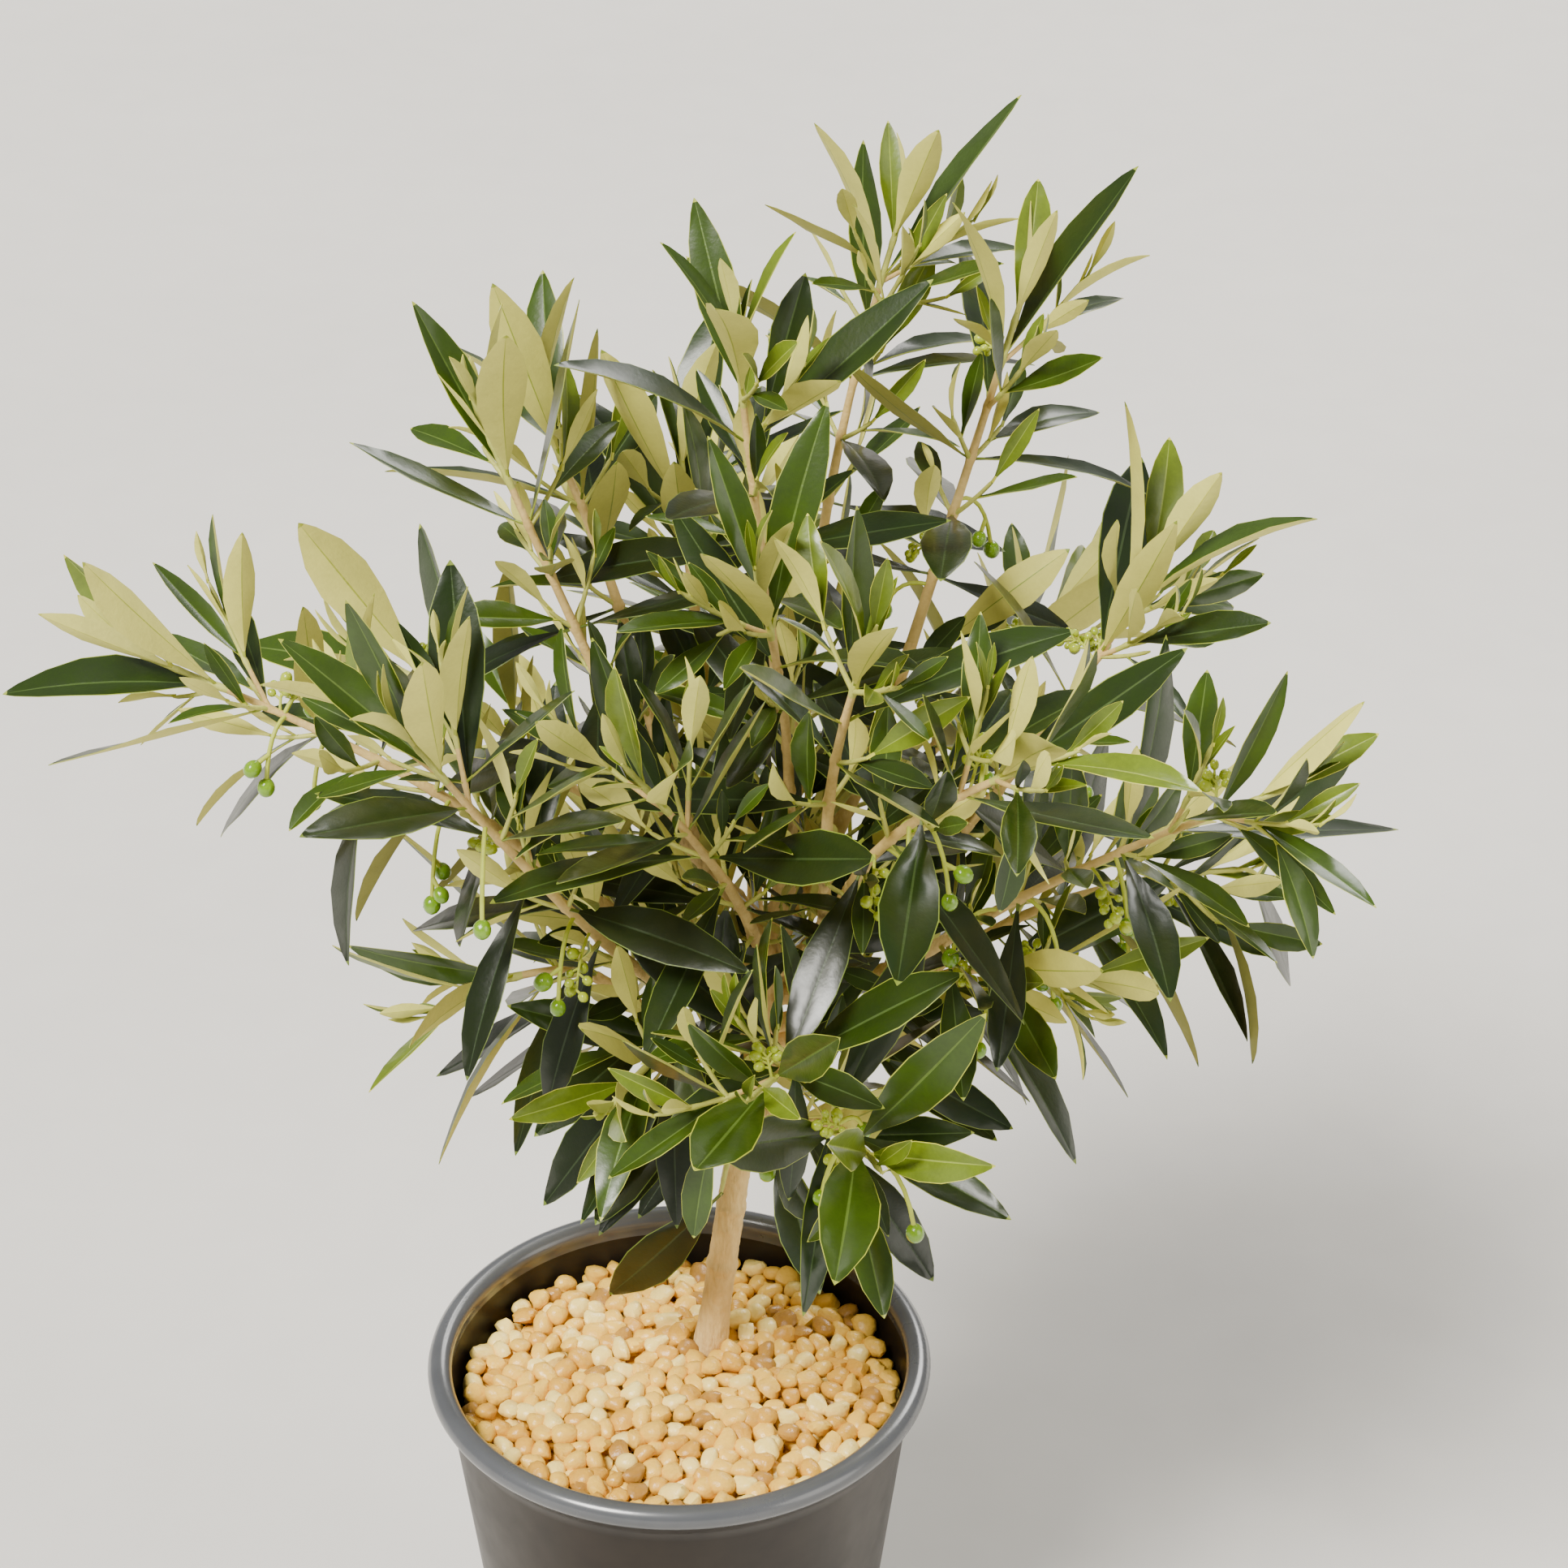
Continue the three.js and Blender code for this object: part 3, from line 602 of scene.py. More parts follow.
def is_open(points, room, own_limb):
    """Whether points have some room from every leaf and from every limb but their own."""
    if in_pot(points).any():
        return False
    others = [limb for limb in limbs.near(points, room) if limb is not own_limb]
    if any(limb.gaps(points).min() < room for limb in others):
        return False
    return not any(leaf.blade_is_near(points, room) for leaf in leaves.near(points, room))


# Strings of olives on long stalks that hang outside the fruiting shoots. Each olive is given by its
# place on the string and the length of its own stalk. It counts as a short thick limb from then on,
# so that later growth keeps clear of it.
STRING_TRIES = 40
STRING_LOWEST = 0.2
STRING_RANGE = 0.65
STRING_LENGTH = 18
STRING_LENGTH_RANGE = 14
STRING_SWING = 70
STRING_SHAPE = (0.4, 0.12, 0.75)
STRING_OLIVES = ((1, 0), (0.72, 3.5), (0.86, 3))
OWN_STALK_LEAN = 0.7
OWN_STALK_SAG = 0.5
OLIVE_CORE = 0.5


def grow_own_stalk(string, place, length, draw):
    hold, along, side, lift = string.frame(place)
    away = unit(around(side, lift, draw() * math.pi * 2) + along * OWN_STALK_LEAN)
    tip = hold + away * length
    return Limb(hold, (hold + tip) / 2, tip - UP * OWN_STALK_SAG, STALK_RADIUS, STALK_RADIUS)


def grow_string(stem, t, draw):
    """Hangs a string of olives from the stem, and says whether it found room."""
    point = stem.point(t)
    heading = math.atan2(point[1] - CROWN_AXIS[1], point[0] - CROWN_AXIS[0])
    heading += math.radians(spread(draw, STRING_SWING))
    outward = np.array([math.cos(heading), math.sin(heading), 0])
    string = hang_stalk(point, outward, STRING_LENGTH + STRING_LENGTH_RANGE * draw(), *STRING_SHAPE)
    if not is_open(string.points[FIRST_CLEAR_POINT:], STALK_RADIUS + SMALL_GAP, stem):
        return False
    found = []
    for place, own_length in STRING_OLIVES:
        stalk = grow_own_stalk(string, place, own_length, draw) if own_length else string
        centre = olive_centre(stalk)
        apart = all(np.linalg.norm(centre - other) > OLIVE_RADIUS * 2 for _, other in found)
        if apart and is_open(centre[None], OLIVE_RADIUS + SMALL_GAP, stem):
            found.append((stalk, centre))
    if not found or found[0][0] is not string:
        return False
    limbs.add(string)
    for stalk, centre in found:
        half = stalk.tangent(1) * OLIVE_CORE
        limbs.add(Limb(centre - half, centre, centre + half, OLIVE_RADIUS, OLIVE_RADIUS))
    olives.extend(found)
    return True


for shoot, stem, draw in drawn_shoots(STRING_SEED):
    strings_left = (shoot.olives + 1) // 2
    for _ in range(STRING_TRIES):
        if strings_left:
            strings_left -= grow_string(stem, STRING_LOWEST + STRING_RANGE * draw(), draw)


# Long dark leaves that droop from some of the lowest shoots, clear of the trunk's foot
DROOPING_SHOOTS = ("left_low", "front_left_low", "rear_low", "right_low")
DROOP_AGE = 8
DROOP_STEP = 10
DROOP_TRIES = 4
DROOP_TRUNK_GAP = 34
DROOP_LENGTH = 48
DROOP_LENGTH_RANGE = 14
DROOP_OPENING = 60
DROOP_OPENING_SPREAD = 20
DROOP_TURN = -90
DROOP_TURN_SPREAD = 75


def grow_drooping_leaf(limb, stem, place, draw):
    """Grows one drooping leaf where a try finds it room."""
    for _ in range(DROOP_TRIES):
        turn = spread(draw, DROOP_TURN_SPREAD) + DROOP_TURN
        opening = DROOP_OPENING + spread(draw, DROOP_OPENING_SPREAD)
        look = (1, 1 + spread(draw, WIDTH_SPREAD), *bend_and_roll(draw))
        size = DROOP_LENGTH + DROOP_LENGTH_RANGE * draw()
        leaf = Leaf(Bud(limb, stem, place, DROOP_AGE, turn, opening, size, look))
        from_trunk = np.linalg.norm((leaf.tip - TRUNK_FOOT)[:2])
        if from_trunk > DROOP_TRUNK_GAP and leaf_is_clear(leaf, SMALL_GAP, SMALL_LIMB_GAP):
            leaves.add(leaf)
            return


for index, name in enumerate(DROOPING_SHOOTS):
    draw = drawer_of(DROOP_SEED, index)
    for limb in (boughs[name], stems[name]):
        for node in range(1, int(limb.length // DROOP_STEP) + 1):
            grow_drooping_leaf(limb, stems[name], node * DROOP_STEP / limb.length, draw)


# A weak twig that hangs from a low bough, with one last leaf that droops over the gravel
HANGING_BOUGH = "front_low_right"
HANGING_ROOT = 0.12
HANGING_RUN = np.array([-10, -10, -24])
HANGING_BOW = np.array([-3, -3, 5])
HANGING_RADII = (1, 0.6)
HANGING_AGE = 4
HANGING_LEAF = 58
HANGING_LEAF_PLACE = 0.97
HANGING_TURN = 160
HANGING_OPENING = 35
HANGING_BEND = 14
HANGING_ROLL = 60


def grow_hanging_twig():
    root = boughs[HANGING_BOUGH].point(HANGING_ROOT)
    twig = Limb(root, root + HANGING_RUN / 2 + HANGING_BOW, root + HANGING_RUN, *HANGING_RADII)
    look = (1, 1, math.radians(HANGING_BEND), math.radians(HANGING_ROLL))
    limbs.add(twig)
    leaves.add(Leaf(Bud(twig, stems[HANGING_BOUGH], HANGING_LEAF_PLACE, HANGING_AGE, HANGING_TURN,
                        HANGING_OPENING, HANGING_LEAF, look)))
    return twig


hanging_twig = grow_hanging_twig()


# Smaller leaves on the sides that stayed bare
SMALL_TRIES = [
    (0, 0, 0.72), (30, 8, 0.66), (-30, 8, 0.66), (52, 0, 0.55), (-52, 0, 0.55), (0, 25, 0.45),
]

for bud in bare_buds:
    grow_leaf(bud, SMALL_TRIES, SMALL_GAP, SMALL_LIMB_GAP)


# Tufts of small leaves in the axils of old pairs and along the bare boughs. A tuft's pairs are given
# by their place on its twig, their opening and their age.
YOUNGEST_TUFT = 2
STEM_TUFT_TURN = 25
SIDE_TUFT_TURN = 70
TUFT_AGE = 1
TUFT_LENGTH = 6
TUFT_LENGTH_RANGE = 11
TUFT_LEAN = 50
TUFT_LEAN_SPREAD = 15
TUFT_RADIUS = 0.55
TUFT_ROOT_RADIUS = TUFT_RADIUS * 1.3
TUFT_OUTER_POINTS = 4
TUFT_FIRST_CLEAR_POINT = 4
TUFT_LEAF = 22
TUFT_LEAF_RANGE = 20
TUFT_LEAF_SPREAD = 0.2
TUFT_LEAF_WIDTH = 1.15
TUFT_TIP_SIZE = 0.7
TUFT_SIZE_STEP = 0.3
TUFT_TURN_SPREAD = 30
TUFT_PAIRS = ((0.94, 12, 0), (0.5, 38, 1))
TUFT_TRIES = [(0, 0, 1), (0, 0, 0.78), (0, 0, 0.58)]
BOUGH_TUFT_AGE = 3
BOUGH_TUFT_STEP = 11
BOUGH_TUFT_END = 0.5
BOUGH_TUFT_LONGER = 1.3

tufts = []


def grow_tuft(limb, stem, t, turn, tuft_age, longer, draw):
    """Grows a short twig with small leaves in crossed pairs, where it finds room."""
    lean = TUFT_LEAN + spread(draw, TUFT_LEAN_SPREAD)
    length = TUFT_LENGTH + TUFT_LENGTH_RANGE * draw() + limb.radius(t)
    twig = branch_off(limb, t, turn, lean, length, (TUFT_ROOT_RADIUS, TUFT_RADIUS))
    size = (TUFT_LEAF + TUFT_LEAF_RANGE * draw()) * longer
    outer = twig.points[-TUFT_OUTER_POINTS:]
    if any(other.gaps(outer).min() < LIMB_GAP for other in limbs.near(outer, LIMB_GAP)):
        return
    free = twig.points[TUFT_FIRST_CLEAR_POINT:]
    if any(leaf.blade_is_near(free, LIMB_GAP) for leaf in leaves.near(free, LIMB_GAP)):
        return
    limbs.add(twig)
    grown = 0
    for place, opening, age in TUFT_PAIRS:
        for half in (0, 1):
            length_share = 1 + spread(draw, TUFT_LEAF_SPREAD)
            look = (length_share, TUFT_LEAF_WIDTH + spread(draw, WIDTH_SPREAD), *bend_and_roll(draw))
            leaf_turn = 90 * age + 180 * half + spread(draw, TUFT_TURN_SPREAD)
            opened = opening + spread(draw, OPEN_SPREAD)
            leaf_size = size * (TUFT_TIP_SIZE + TUFT_SIZE_STEP * age)
            bud = Bud(twig, stem, place, tuft_age + age, leaf_turn, opened, leaf_size, look)
            grown += grow_leaf(bud, TUFT_TRIES, SMALL_GAP, SMALL_LIMB_GAP)
    if grown:
        tufts.append(twig)


for shoot, stem, draw in drawn_shoots(TUFT_SEED):
    axils = [(stem, node, STEM_TUFT_TURN) for node in leaf_nodes(stem)]
    for twig in side_twigs[shoot.name]:
        axils += [(twig, node, SIDE_TUFT_TURN) for node in leaf_nodes(twig)]
    for limb, (age, t), turn_by in axils:
        for half in (0, 1):
            if age >= YOUNGEST_TUFT:
                turn = shoot.turn + 90 * age + 180 * half + turn_by
                grow_tuft(limb, stem, t, turn, TUFT_AGE, 1, draw)
    bough = boughs[shoot.name]
    bough_nodes = int(bough.length // BOUGH_TUFT_STEP)
    for node in range(1, bough_nodes + 1):
        for half in (0, 1):
            turn = shoot.turn + 90 * node + 180 * half
            t = node / (bough_nodes + BOUGH_TUFT_END)
            grow_tuft(bough, stem, t, turn, BOUGH_TUFT_AGE, BOUGH_TUFT_LONGER, draw)


# Small upright leaves that are still opening at the tip of each twig. Each pair is given by its place,
# its opening and its length.
OPENING_PAIRS = ((0.99, 7, 11), (0.96, 12, 16))
OPENING_TURN = 45
OPENING_SPREAD = 4
OPENING_LEAF_WIDTH = 0.9
OPENING_LEAF_RANGE = 6
OPENING_GAP = 0.2

for shoot, stem, draw in drawn_shoots(BUD_SEED):
    for twig in (stem, *side_twigs[shoot.name]):
        for pair, (t, opening, length) in enumerate(OPENING_PAIRS):
            for half in (0, 1):
                turn = shoot.turn + OPENING_TURN + 90 * pair + 180 * half + spread(draw, ANGLE_SPREAD)
                opened = opening + spread(draw, OPENING_SPREAD)
                roll = math.radians(spread(draw, ROLL_SPREAD))
                look = (1, OPENING_LEAF_WIDTH, math.radians(BEND), roll)
                bud = Bud(twig, stem, t, 0, turn, opened, length + OPENING_LEAF_RANGE * draw(), look)
                grow_leaf(bud, ONE_TRY, OPENING_GAP, OPENING_GAP)


# Clusters of young fruit that have only just set, each on its own short stalk along a common one
CLUSTER_TRIES = 14
CLUSTERS_TO_A_SHOOT = 2
CLUSTER_LOWEST = 0.2
CLUSTER_RANGE = 0.6
CLUSTER_LENGTH = 9
CLUSTER_LENGTH_RANGE = 9
CLUSTER_LEAN = 0.5
CLUSTER_OUT = 0.55
CLUSTER_TURN_OUT = 0.35
CLUSTER_DROP = 0.3
CLUSTER_STALK_RADIUS = 0.45
CLUSTER_STALK_TAPER = 0.7
CLUSTER_STALK_GAP = 0.8
CLUSTER_SIZE = 9
CLUSTER_START = 0.35
CLUSTER_TURN_SPREAD = 25
YOUNG_STALK = 2.2
YOUNG_STALK_LEAN = 0.6
YOUNG_STALK_BOW = 0.2
YOUNG_STALK_RADII = (0.35, 0.3)
YOUNG_FRUIT_RADIUS = 1
YOUNG_FRUIT_RANGE = 0.8
YOUNG_FRUIT_HANG = 0.6
YOUNG_FRUIT_GAP = 0.3

clusters = []


def grow_young_fruit(stalk, number, draw):
    """One fruit of a cluster, as its own stalk, its centre and its radius."""
    share = number / (CLUSTER_SIZE - 1)
    place, along, side, lift = stalk.frame(mix(CLUSTER_START, 1, share))
    turn = math.radians(GOLDEN_ANGLE * number + spread(draw, CLUSTER_TURN_SPREAD))
    heading = unit(around(side, lift, turn) + along * YOUNG_STALK_LEAN)
    radius = YOUNG_FRUIT_RADIUS + YOUNG_FRUIT_RANGE * draw()
    tip = place + heading * (YOUNG_STALK + radius * YOUNG_FRUIT_HANG)
    return Limb(place, (place + tip) / 2 + UP * YOUNG_STALK_BOW, tip, *YOUNG_STALK_RADII), tip, radius


def grow_cluster(stem, t, angle, draw):
    """Hangs a cluster from the stem, and says whether it found room."""
    point, along, side, lift = stem.frame(t)
    outward = around(side, lift, angle)
    length = CLUSTER_LENGTH + CLUSTER_LENGTH_RANGE * draw()
    middle = point + (outward + along * CLUSTER_LEAN) * length * CLUSTER_OUT
    end = middle + outward * length * CLUSTER_TURN_OUT - UP * length * CLUSTER_DROP
    stalk = Limb(point, middle, end, CLUSTER_STALK_RADIUS, CLUSTER_STALK_RADIUS * CLUSTER_STALK_TAPER)
    fruits = [grow_young_fruit(stalk, number, draw) for number in range(CLUSTER_SIZE)]
    found = [fruit for fruit in fruits if is_open(fruit[1][None], fruit[2] + YOUNG_FRUIT_GAP, stem)]
    free = stalk.points[FIRST_CLEAR_POINT:]
    if len(found) < CLUSTER_SIZE / 2 or not is_open(free, CLUSTER_STALK_GAP, stem):
        return False
    clusters.append((stalk, found))
    return True


for shoot, stem, draw in drawn_shoots(CLUSTER_SEED):
    grown = 0
    for _ in range(CLUSTER_TRIES):
        if shoot.olives and grown < CLUSTERS_TO_A_SHOOT:
            place = CLUSTER_LOWEST + CLUSTER_RANGE * draw()
            grown += grow_cluster(stem, place, draw() * math.pi * 2, draw)


# Finishes. Colours are given as the eye sees them, from 0 to 255.
def paint(red, green, blue):
    """A colour as the shaders take it, by the usual curve of a screen."""
    def linear(value):
        value /= 255
        return value / 12.92 if value <= 0.04045 else ((value + 0.055) / 1.055) ** 2.4

    return (linear(red), linear(green), linear(blue), 1)


def shade(colour, share):
    return tuple(share * value for value in colour)


GRAIN_DETAIL = 4
MOTTLE_FROM = 0.3
MOTTLE_TO = 0.7


def make_mottle():
    """A shared effect: two colours mixed by a soft noise, and its mask for gloss and relief."""
    group = bpy.data.node_groups.new("Mottle", "ShaderNodeTree")
    sockets = group.interface
    for label in ("Colour A", "Colour B"):
        sockets.new_socket(label, in_out="INPUT", socket_type="NodeSocketColor")
    for label in ("Patch Scale", "Grain Scale", "Grain Share"):
        sockets.new_socket(label, in_out="INPUT", socket_type="NodeSocketFloat")
    sockets.new_socket("Stretch", in_out="INPUT", socket_type="NodeSocketVector")
    sockets.new_socket("Colour", in_out="OUTPUT", socket_type="NodeSocketColor")
    sockets.new_socket("Mask", in_out="OUTPUT", socket_type="NodeSocketFloat")
    nodes = group.nodes
    link = group.links.new
    source = nodes.new("NodeGroupInput")
    target = nodes.new("NodeGroupOutput")
    place = nodes.new("ShaderNodeTexCoord")
    stretch = nodes.new("ShaderNodeVectorMath")
    stretch.operation = "MULTIPLY"
    patches = nodes.new("ShaderNodeTexNoise")
    grain = nodes.new("ShaderNodeTexNoise")
    blend = nodes.new("ShaderNodeMix")
    contrast = nodes.new("ShaderNodeMapRange")
    colours = nodes.new("ShaderNodeMix")
    colours.data_type = "RGBA"
    link(place.outputs["Object"], stretch.inputs[0])
    link(source.outputs["Stretch"], stretch.inputs[1])
    for noise, scale in ((patches, "Patch Scale"), (grain, "Grain Scale")):
        link(stretch.outputs[0], noise.inputs["Vector"])
        link(source.outputs[scale], noise.inputs["Scale"])
    grain.inputs["Detail"].default_value = GRAIN_DETAIL
    link(source.outputs["Grain Share"], blend.inputs[0])
    link(patches.outputs["Fac"], blend.inputs[2])
    link(grain.outputs["Fac"], blend.inputs[3])
    contrast.inputs["From Min"].default_value = MOTTLE_FROM
    contrast.inputs["From Max"].default_value = MOTTLE_TO
    link(blend.outputs[0], contrast.inputs["Value"])
    link(contrast.outputs[0], colours.inputs[0])
    link(source.outputs["Colour A"], colours.inputs[6])
    link(source.outputs["Colour B"], colours.inputs[7])
    link(colours.outputs[2], target.inputs["Colour"])
    link(contrast.outputs[0], target.inputs["Mask"])
    return group


mottle_group = make_mottle()


def finish(name, colour_a, colour_b, roughness, patch=120, grain=900, grain_share=0.35,
           relief=0.0002, stretch=(1, 1, 1), **sockets):
    """A material that mottles between two colours and two roughnesses, with a relief in metres."""
    material = bpy.data.materials.new(name)
    material.use_nodes = True
    nodes = material.node_tree.nodes
    link = material.node_tree.links.new
    shader = nodes["Principled BSDF"]
    mottle = nodes.new("ShaderNodeGroup")
    mottle.node_tree = mottle_group
    mottle.inputs["Colour A"].default_value = paint(*colour_a)
    mottle.inputs["Colour B"].default_value = paint(*colour_b)
    mottle.inputs["Patch Scale"].default_value = patch
    mottle.inputs["Grain Scale"].default_value = grain
    mottle.inputs["Grain Share"].default_value = grain_share
    mottle.inputs["Stretch"].default_value = stretch
    rough = nodes.new("ShaderNodeMapRange")
    rough.inputs["To Min"].default_value = roughness[0]
    rough.inputs["To Max"].default_value = roughness[1]
    bump = nodes.new("ShaderNodeBump")
    bump.inputs["Distance"].default_value = relief
    link(mottle.outputs["Colour"], shader.inputs["Base Color"])
    link(mottle.outputs["Mask"], rough.inputs["Value"])
    link(rough.outputs[0], shader.inputs["Roughness"])
    link(mottle.outputs["Mask"], bump.inputs["Height"])
    link(bump.outputs["Normal"], shader.inputs["Normal"])
    for socket, value in sockets.items():
        shader.inputs[socket.replace("_", " ")].default_value = value
    return material


# Each side of a leaf has a name, a share of its colour for its darker patches, its two roughnesses and
# what else sets it apart. Each age of leaf has a name and a colour for each side.
LEAF_SIDES = [
    ("upper", 0.8, (0.28, 0.4), {
        "relief": 0.00006, "Coat_Weight": 0.22, "Coat_Roughness": 0.18, "Specular_IOR_Level": 0.34,
    }),
    ("under", 0.93, (0.6, 0.75), {"relief": 0.0001}),
    ("rib", 0.9, (0.4, 0.5), {}),
    ("margin", 0.9, (0.4, 0.5), {}),
]


def leaf_finishes(age_name, *colours):
    return [
        finish(f"leaf_{side}_{age_name}", colour, shade(colour, share), roughness, **more)
        for (side, share, roughness, more), colour in zip(LEAF_SIDES, colours)
    ]


LEAF_AGES = [
    leaf_finishes("tip", (108, 128, 28), (231, 227, 122), (146, 162, 62), (208, 208, 76)),
    leaf_finishes("young", (56, 79, 14), (224, 219, 113), (88, 112, 40), (178, 186, 64)),
    leaf_finishes("grown", (37, 56, 10), (212, 207, 103), (64, 86, 32), (152, 166, 54)),
    leaf_finishes("old", (27, 44, 8), (190, 186, 90), (48, 68, 25), (124, 142, 45)),
    leaf_finishes("dark", (23, 34, 7), (162, 159, 80), (37, 54, 20), (98, 116, 38)),
]
bark = finish("bark", (238, 208, 140), (206, 172, 108), (0.7, 0.9), patch=90, grain=700,
              grain_share=0.6, relief=0.0006, stretch=(1, 1, 0.3))
twig_tan = finish("twig_tan", (224, 194, 124), (192, 160, 94), (0.6, 0.8), relief=0.0003)
twig_green = finish("twig_green", (200, 200, 104), (172, 174, 78), (0.5, 0.65))
stalk_green = finish("stalk_green", (194, 202, 72), (168, 180, 54), (0.5, 0.6))
olive_skin = finish("olive_skin", (128, 168, 24), (98, 140, 14), (0.14, 0.24), patch=260,
                    Coat_Weight=0.4)
young_skin = finish("young_skin", (176, 190, 46), (150, 168, 30), (0.2, 0.3), patch=260,
                    Coat_Weight=0.3)
pot_plastic = finish("pot_plastic", (41, 33, 25), (25, 20, 15), (0.3, 0.46), patch=26, grain=160,
                     grain_share=0.3, relief=0.00003, Specular_IOR_Level=0.3)
# The rolled rim's lighter blue-grey colour is partly its thin plastic's own tone and partly a painted
# blue-grey sheen.
rim_plastic_sheen = finish("rim_plastic_sheen", (86, 88, 92), (70, 72, 76), (0.24, 0.34), patch=26, grain=160,
                     grain_share=0.3, relief=0.00002, Coat_Weight=0.5, Coat_Roughness=0.16)
compost = finish("compost", (44, 32, 22), (24, 17, 12), (0.9, 1), patch=260, grain=1400,
                 grain_share=0.5, relief=0.002)
PEBBLE_COLOURS = [
    ("pebble_sand", (248, 203, 86), (228, 178, 66)),
    ("pebble_pale", (255, 230, 138), (248, 213, 112)),
    ("pebble_honey", (228, 175, 62), (204, 149, 46)),
    ("pebble_brown", (188, 140, 60), (158, 112, 42)),
]
PEBBLE_FINISHES = [finish(*colours, (0.24, 0.42), relief=0.0003) for colours in PEBBLE_COLOURS]


# Shared ways of making a mesh
def select_only(*pieces):
    bpy.ops.object.select_all(action="DESELECT")
    for piece in pieces:
        piece.select_set(True)
    bpy.context.view_layer.objects.active = pieces[0]


def add_primitive(operator, **sizes):
    """A new primitive as the only piece selected."""
    bpy.ops.object.select_all(action="DESELECT")
    operator(**sizes)
    return bpy.context.object


def smooth_piece(piece, degrees):
    select_only(piece)
    bpy.ops.object.shade_smooth_by_angle(angle=math.radians(degrees))


def apply_modifiers(piece):
    select_only(piece)
    for modifier in list(piece.modifiers):
        bpy.ops.object.modifier_apply(modifier=modifier.name)


def taken_shape(model):
    """The points and faces of a model, which is then taken away."""
    points = np.array([vertex.co[:] for vertex in model.data.vertices])
    faces = [tuple(polygon.vertices) for polygon in model.data.polygons]
    bpy.data.objects.remove(model)
    return points, faces


SMALL_PART_SMOOTHING = 50


def joined_piece(name, parts, materials):
    """One piece from many small parts, each given as its points, its faces and each face's slot."""
    points = []
    faces = []
    slots = []
    first = 0
    for part_points, part_faces, part_slots in parts:
        points.append(part_points)
        faces += [tuple(first + corner for corner in face) for face in part_faces]
        slots += part_slots
        first += len(part_points)
    mesh = bpy.data.meshes.new(name)
    mesh.from_pydata((np.concatenate(points) * MM).tolist(), [], faces)
    for material in materials:
        mesh.materials.append(material)
    mesh.polygons.foreach_set("material_index", np.asarray(slots, dtype=np.int32))
    piece = bpy.data.objects.new(name, mesh)
    bpy.context.collection.objects.link(piece)
    smooth_piece(piece, SMALL_PART_SMOOTHING)
    return piece


def ring_faces(rows, sides):
    """Faces of a tube of rings, with a cap on each end."""
    faces = []
    for row in range(rows - 1):
        for i in range(sides):
            j = (i + 1) % sides
            low = row * sides
            faces.append((low + i, low + j, low + sides + j, low + sides + i))
    last = (rows - 1) * sides
    return faces + [tuple(reversed(range(sides))), tuple(range(last, last + sides))]


# Leaves. A leaf is a flat tube of rings, whose strips are blade, midrib and blade below and margin,
# blade, midrib, blade and margin above. Its stalk, its pointed tip and the midrib below have the
# margin's colour.
LEAF_ROWS = np.array([0, 0.085, 0.18, 0.32, 0.48, 0.64, 0.8, 0.93, 0.978, 1])
RING_ACROSS = np.array([-1, -0.03, 0.03, 1, 0.96, 0.045, -0.045, -0.96])
RING_IS_UPPER = np.array([0, -1, -1, 0, 1, 1, 1, 1])
UPPER, UNDER, RIB, MARGIN = 0, 1, 2, 3
STRIP_FINISH = [UNDER, MARGIN, UNDER, MARGIN, UPPER, RIB, UPPER, MARGIN]
STRIPS_BELOW = 3
PETIOLE_END = 0.085
PETIOLE_RADIUS = 0.5
PETIOLE_THICKNESS = 0.6
TIP_POINTING = 0.85
BLADE_THICKNESS = 0.45
BLADE_THICK_FROM = 0.2
TIP_THINNING = 0.6
LEAST_TAPER = 0.98
MOST_TAPER = 1.38
BLADE_ROUNDNESS = 0.84
YOUNG_FOLD = 26
OLD_FOLD = 11
OLD_FOLD_AGE = 4
FOLD_SPREAD = 8
TWIST = 20
WAVES = 1.4
WAVE_SHARE = 0.07


def leaf_points(leaf, draw):
    """The rings of one leaf, folded along its midrib, twisted a little and waved along its margins."""
    share = LEAF_ROWS
    blade = np.clip((share - PETIOLE_END) / (1 - PETIOLE_END), 0, 1)
    taper = mix(LEAST_TAPER, MOST_TAPER, draw())
    half = leaf.width / 2 * np.abs(np.sin(math.pi * blade ** taper)) ** BLADE_ROUNDNESS
    half = np.maximum(half, PETIOLE_RADIUS * (1 - TIP_POINTING * share))
    thick = mix(PETIOLE_THICKNESS, BLADE_THICKNESS, np.minimum(share / BLADE_THICK_FROM, 1))
    thick = thick * (1 - TIP_THINNING * share)
    fold = mix(YOUNG_FOLD, OLD_FOLD, min(leaf.age / OLD_FOLD_AGE, 1)) + spread(draw, FOLD_SPREAD)
    fold = math.radians(fold)
    twist = math.radians(spread(draw, TWIST)) * share
    phases = np.array([draw(), draw()]) * 2 * math.pi
    turn = leaf.bend * share
    centre = leaf.midrib(share[:, None])
    face = leaf.normal * np.cos(turn)[:, None] + leaf.axis * np.sin(turn)[:, None]
    across = leaf.across * np.cos(twist)[:, None] + face * np.sin(twist)[:, None]
    face = face * np.cos(twist)[:, None] - leaf.across * np.sin(twist)[:, None]
    reach = half[:, None] * RING_ACROSS * math.cos(fold)
    height = half[:, None] * np.abs(RING_ACROSS) * math.sin(fold)
    waves = np.sin(2 * math.pi * WAVES * share[:, None] + phases[(RING_ACROSS > 0).astype(int)])
    height = height + half[:, None] * WAVE_SHARE * waves * RING_ACROSS ** 2
    height = height + thick[:, None] / 2 * RING_IS_UPPER
    rings = centre[:, None] + across[:, None] * reach[..., None] + face[:, None] * height[..., None]
    return rings.reshape(-1, 3)


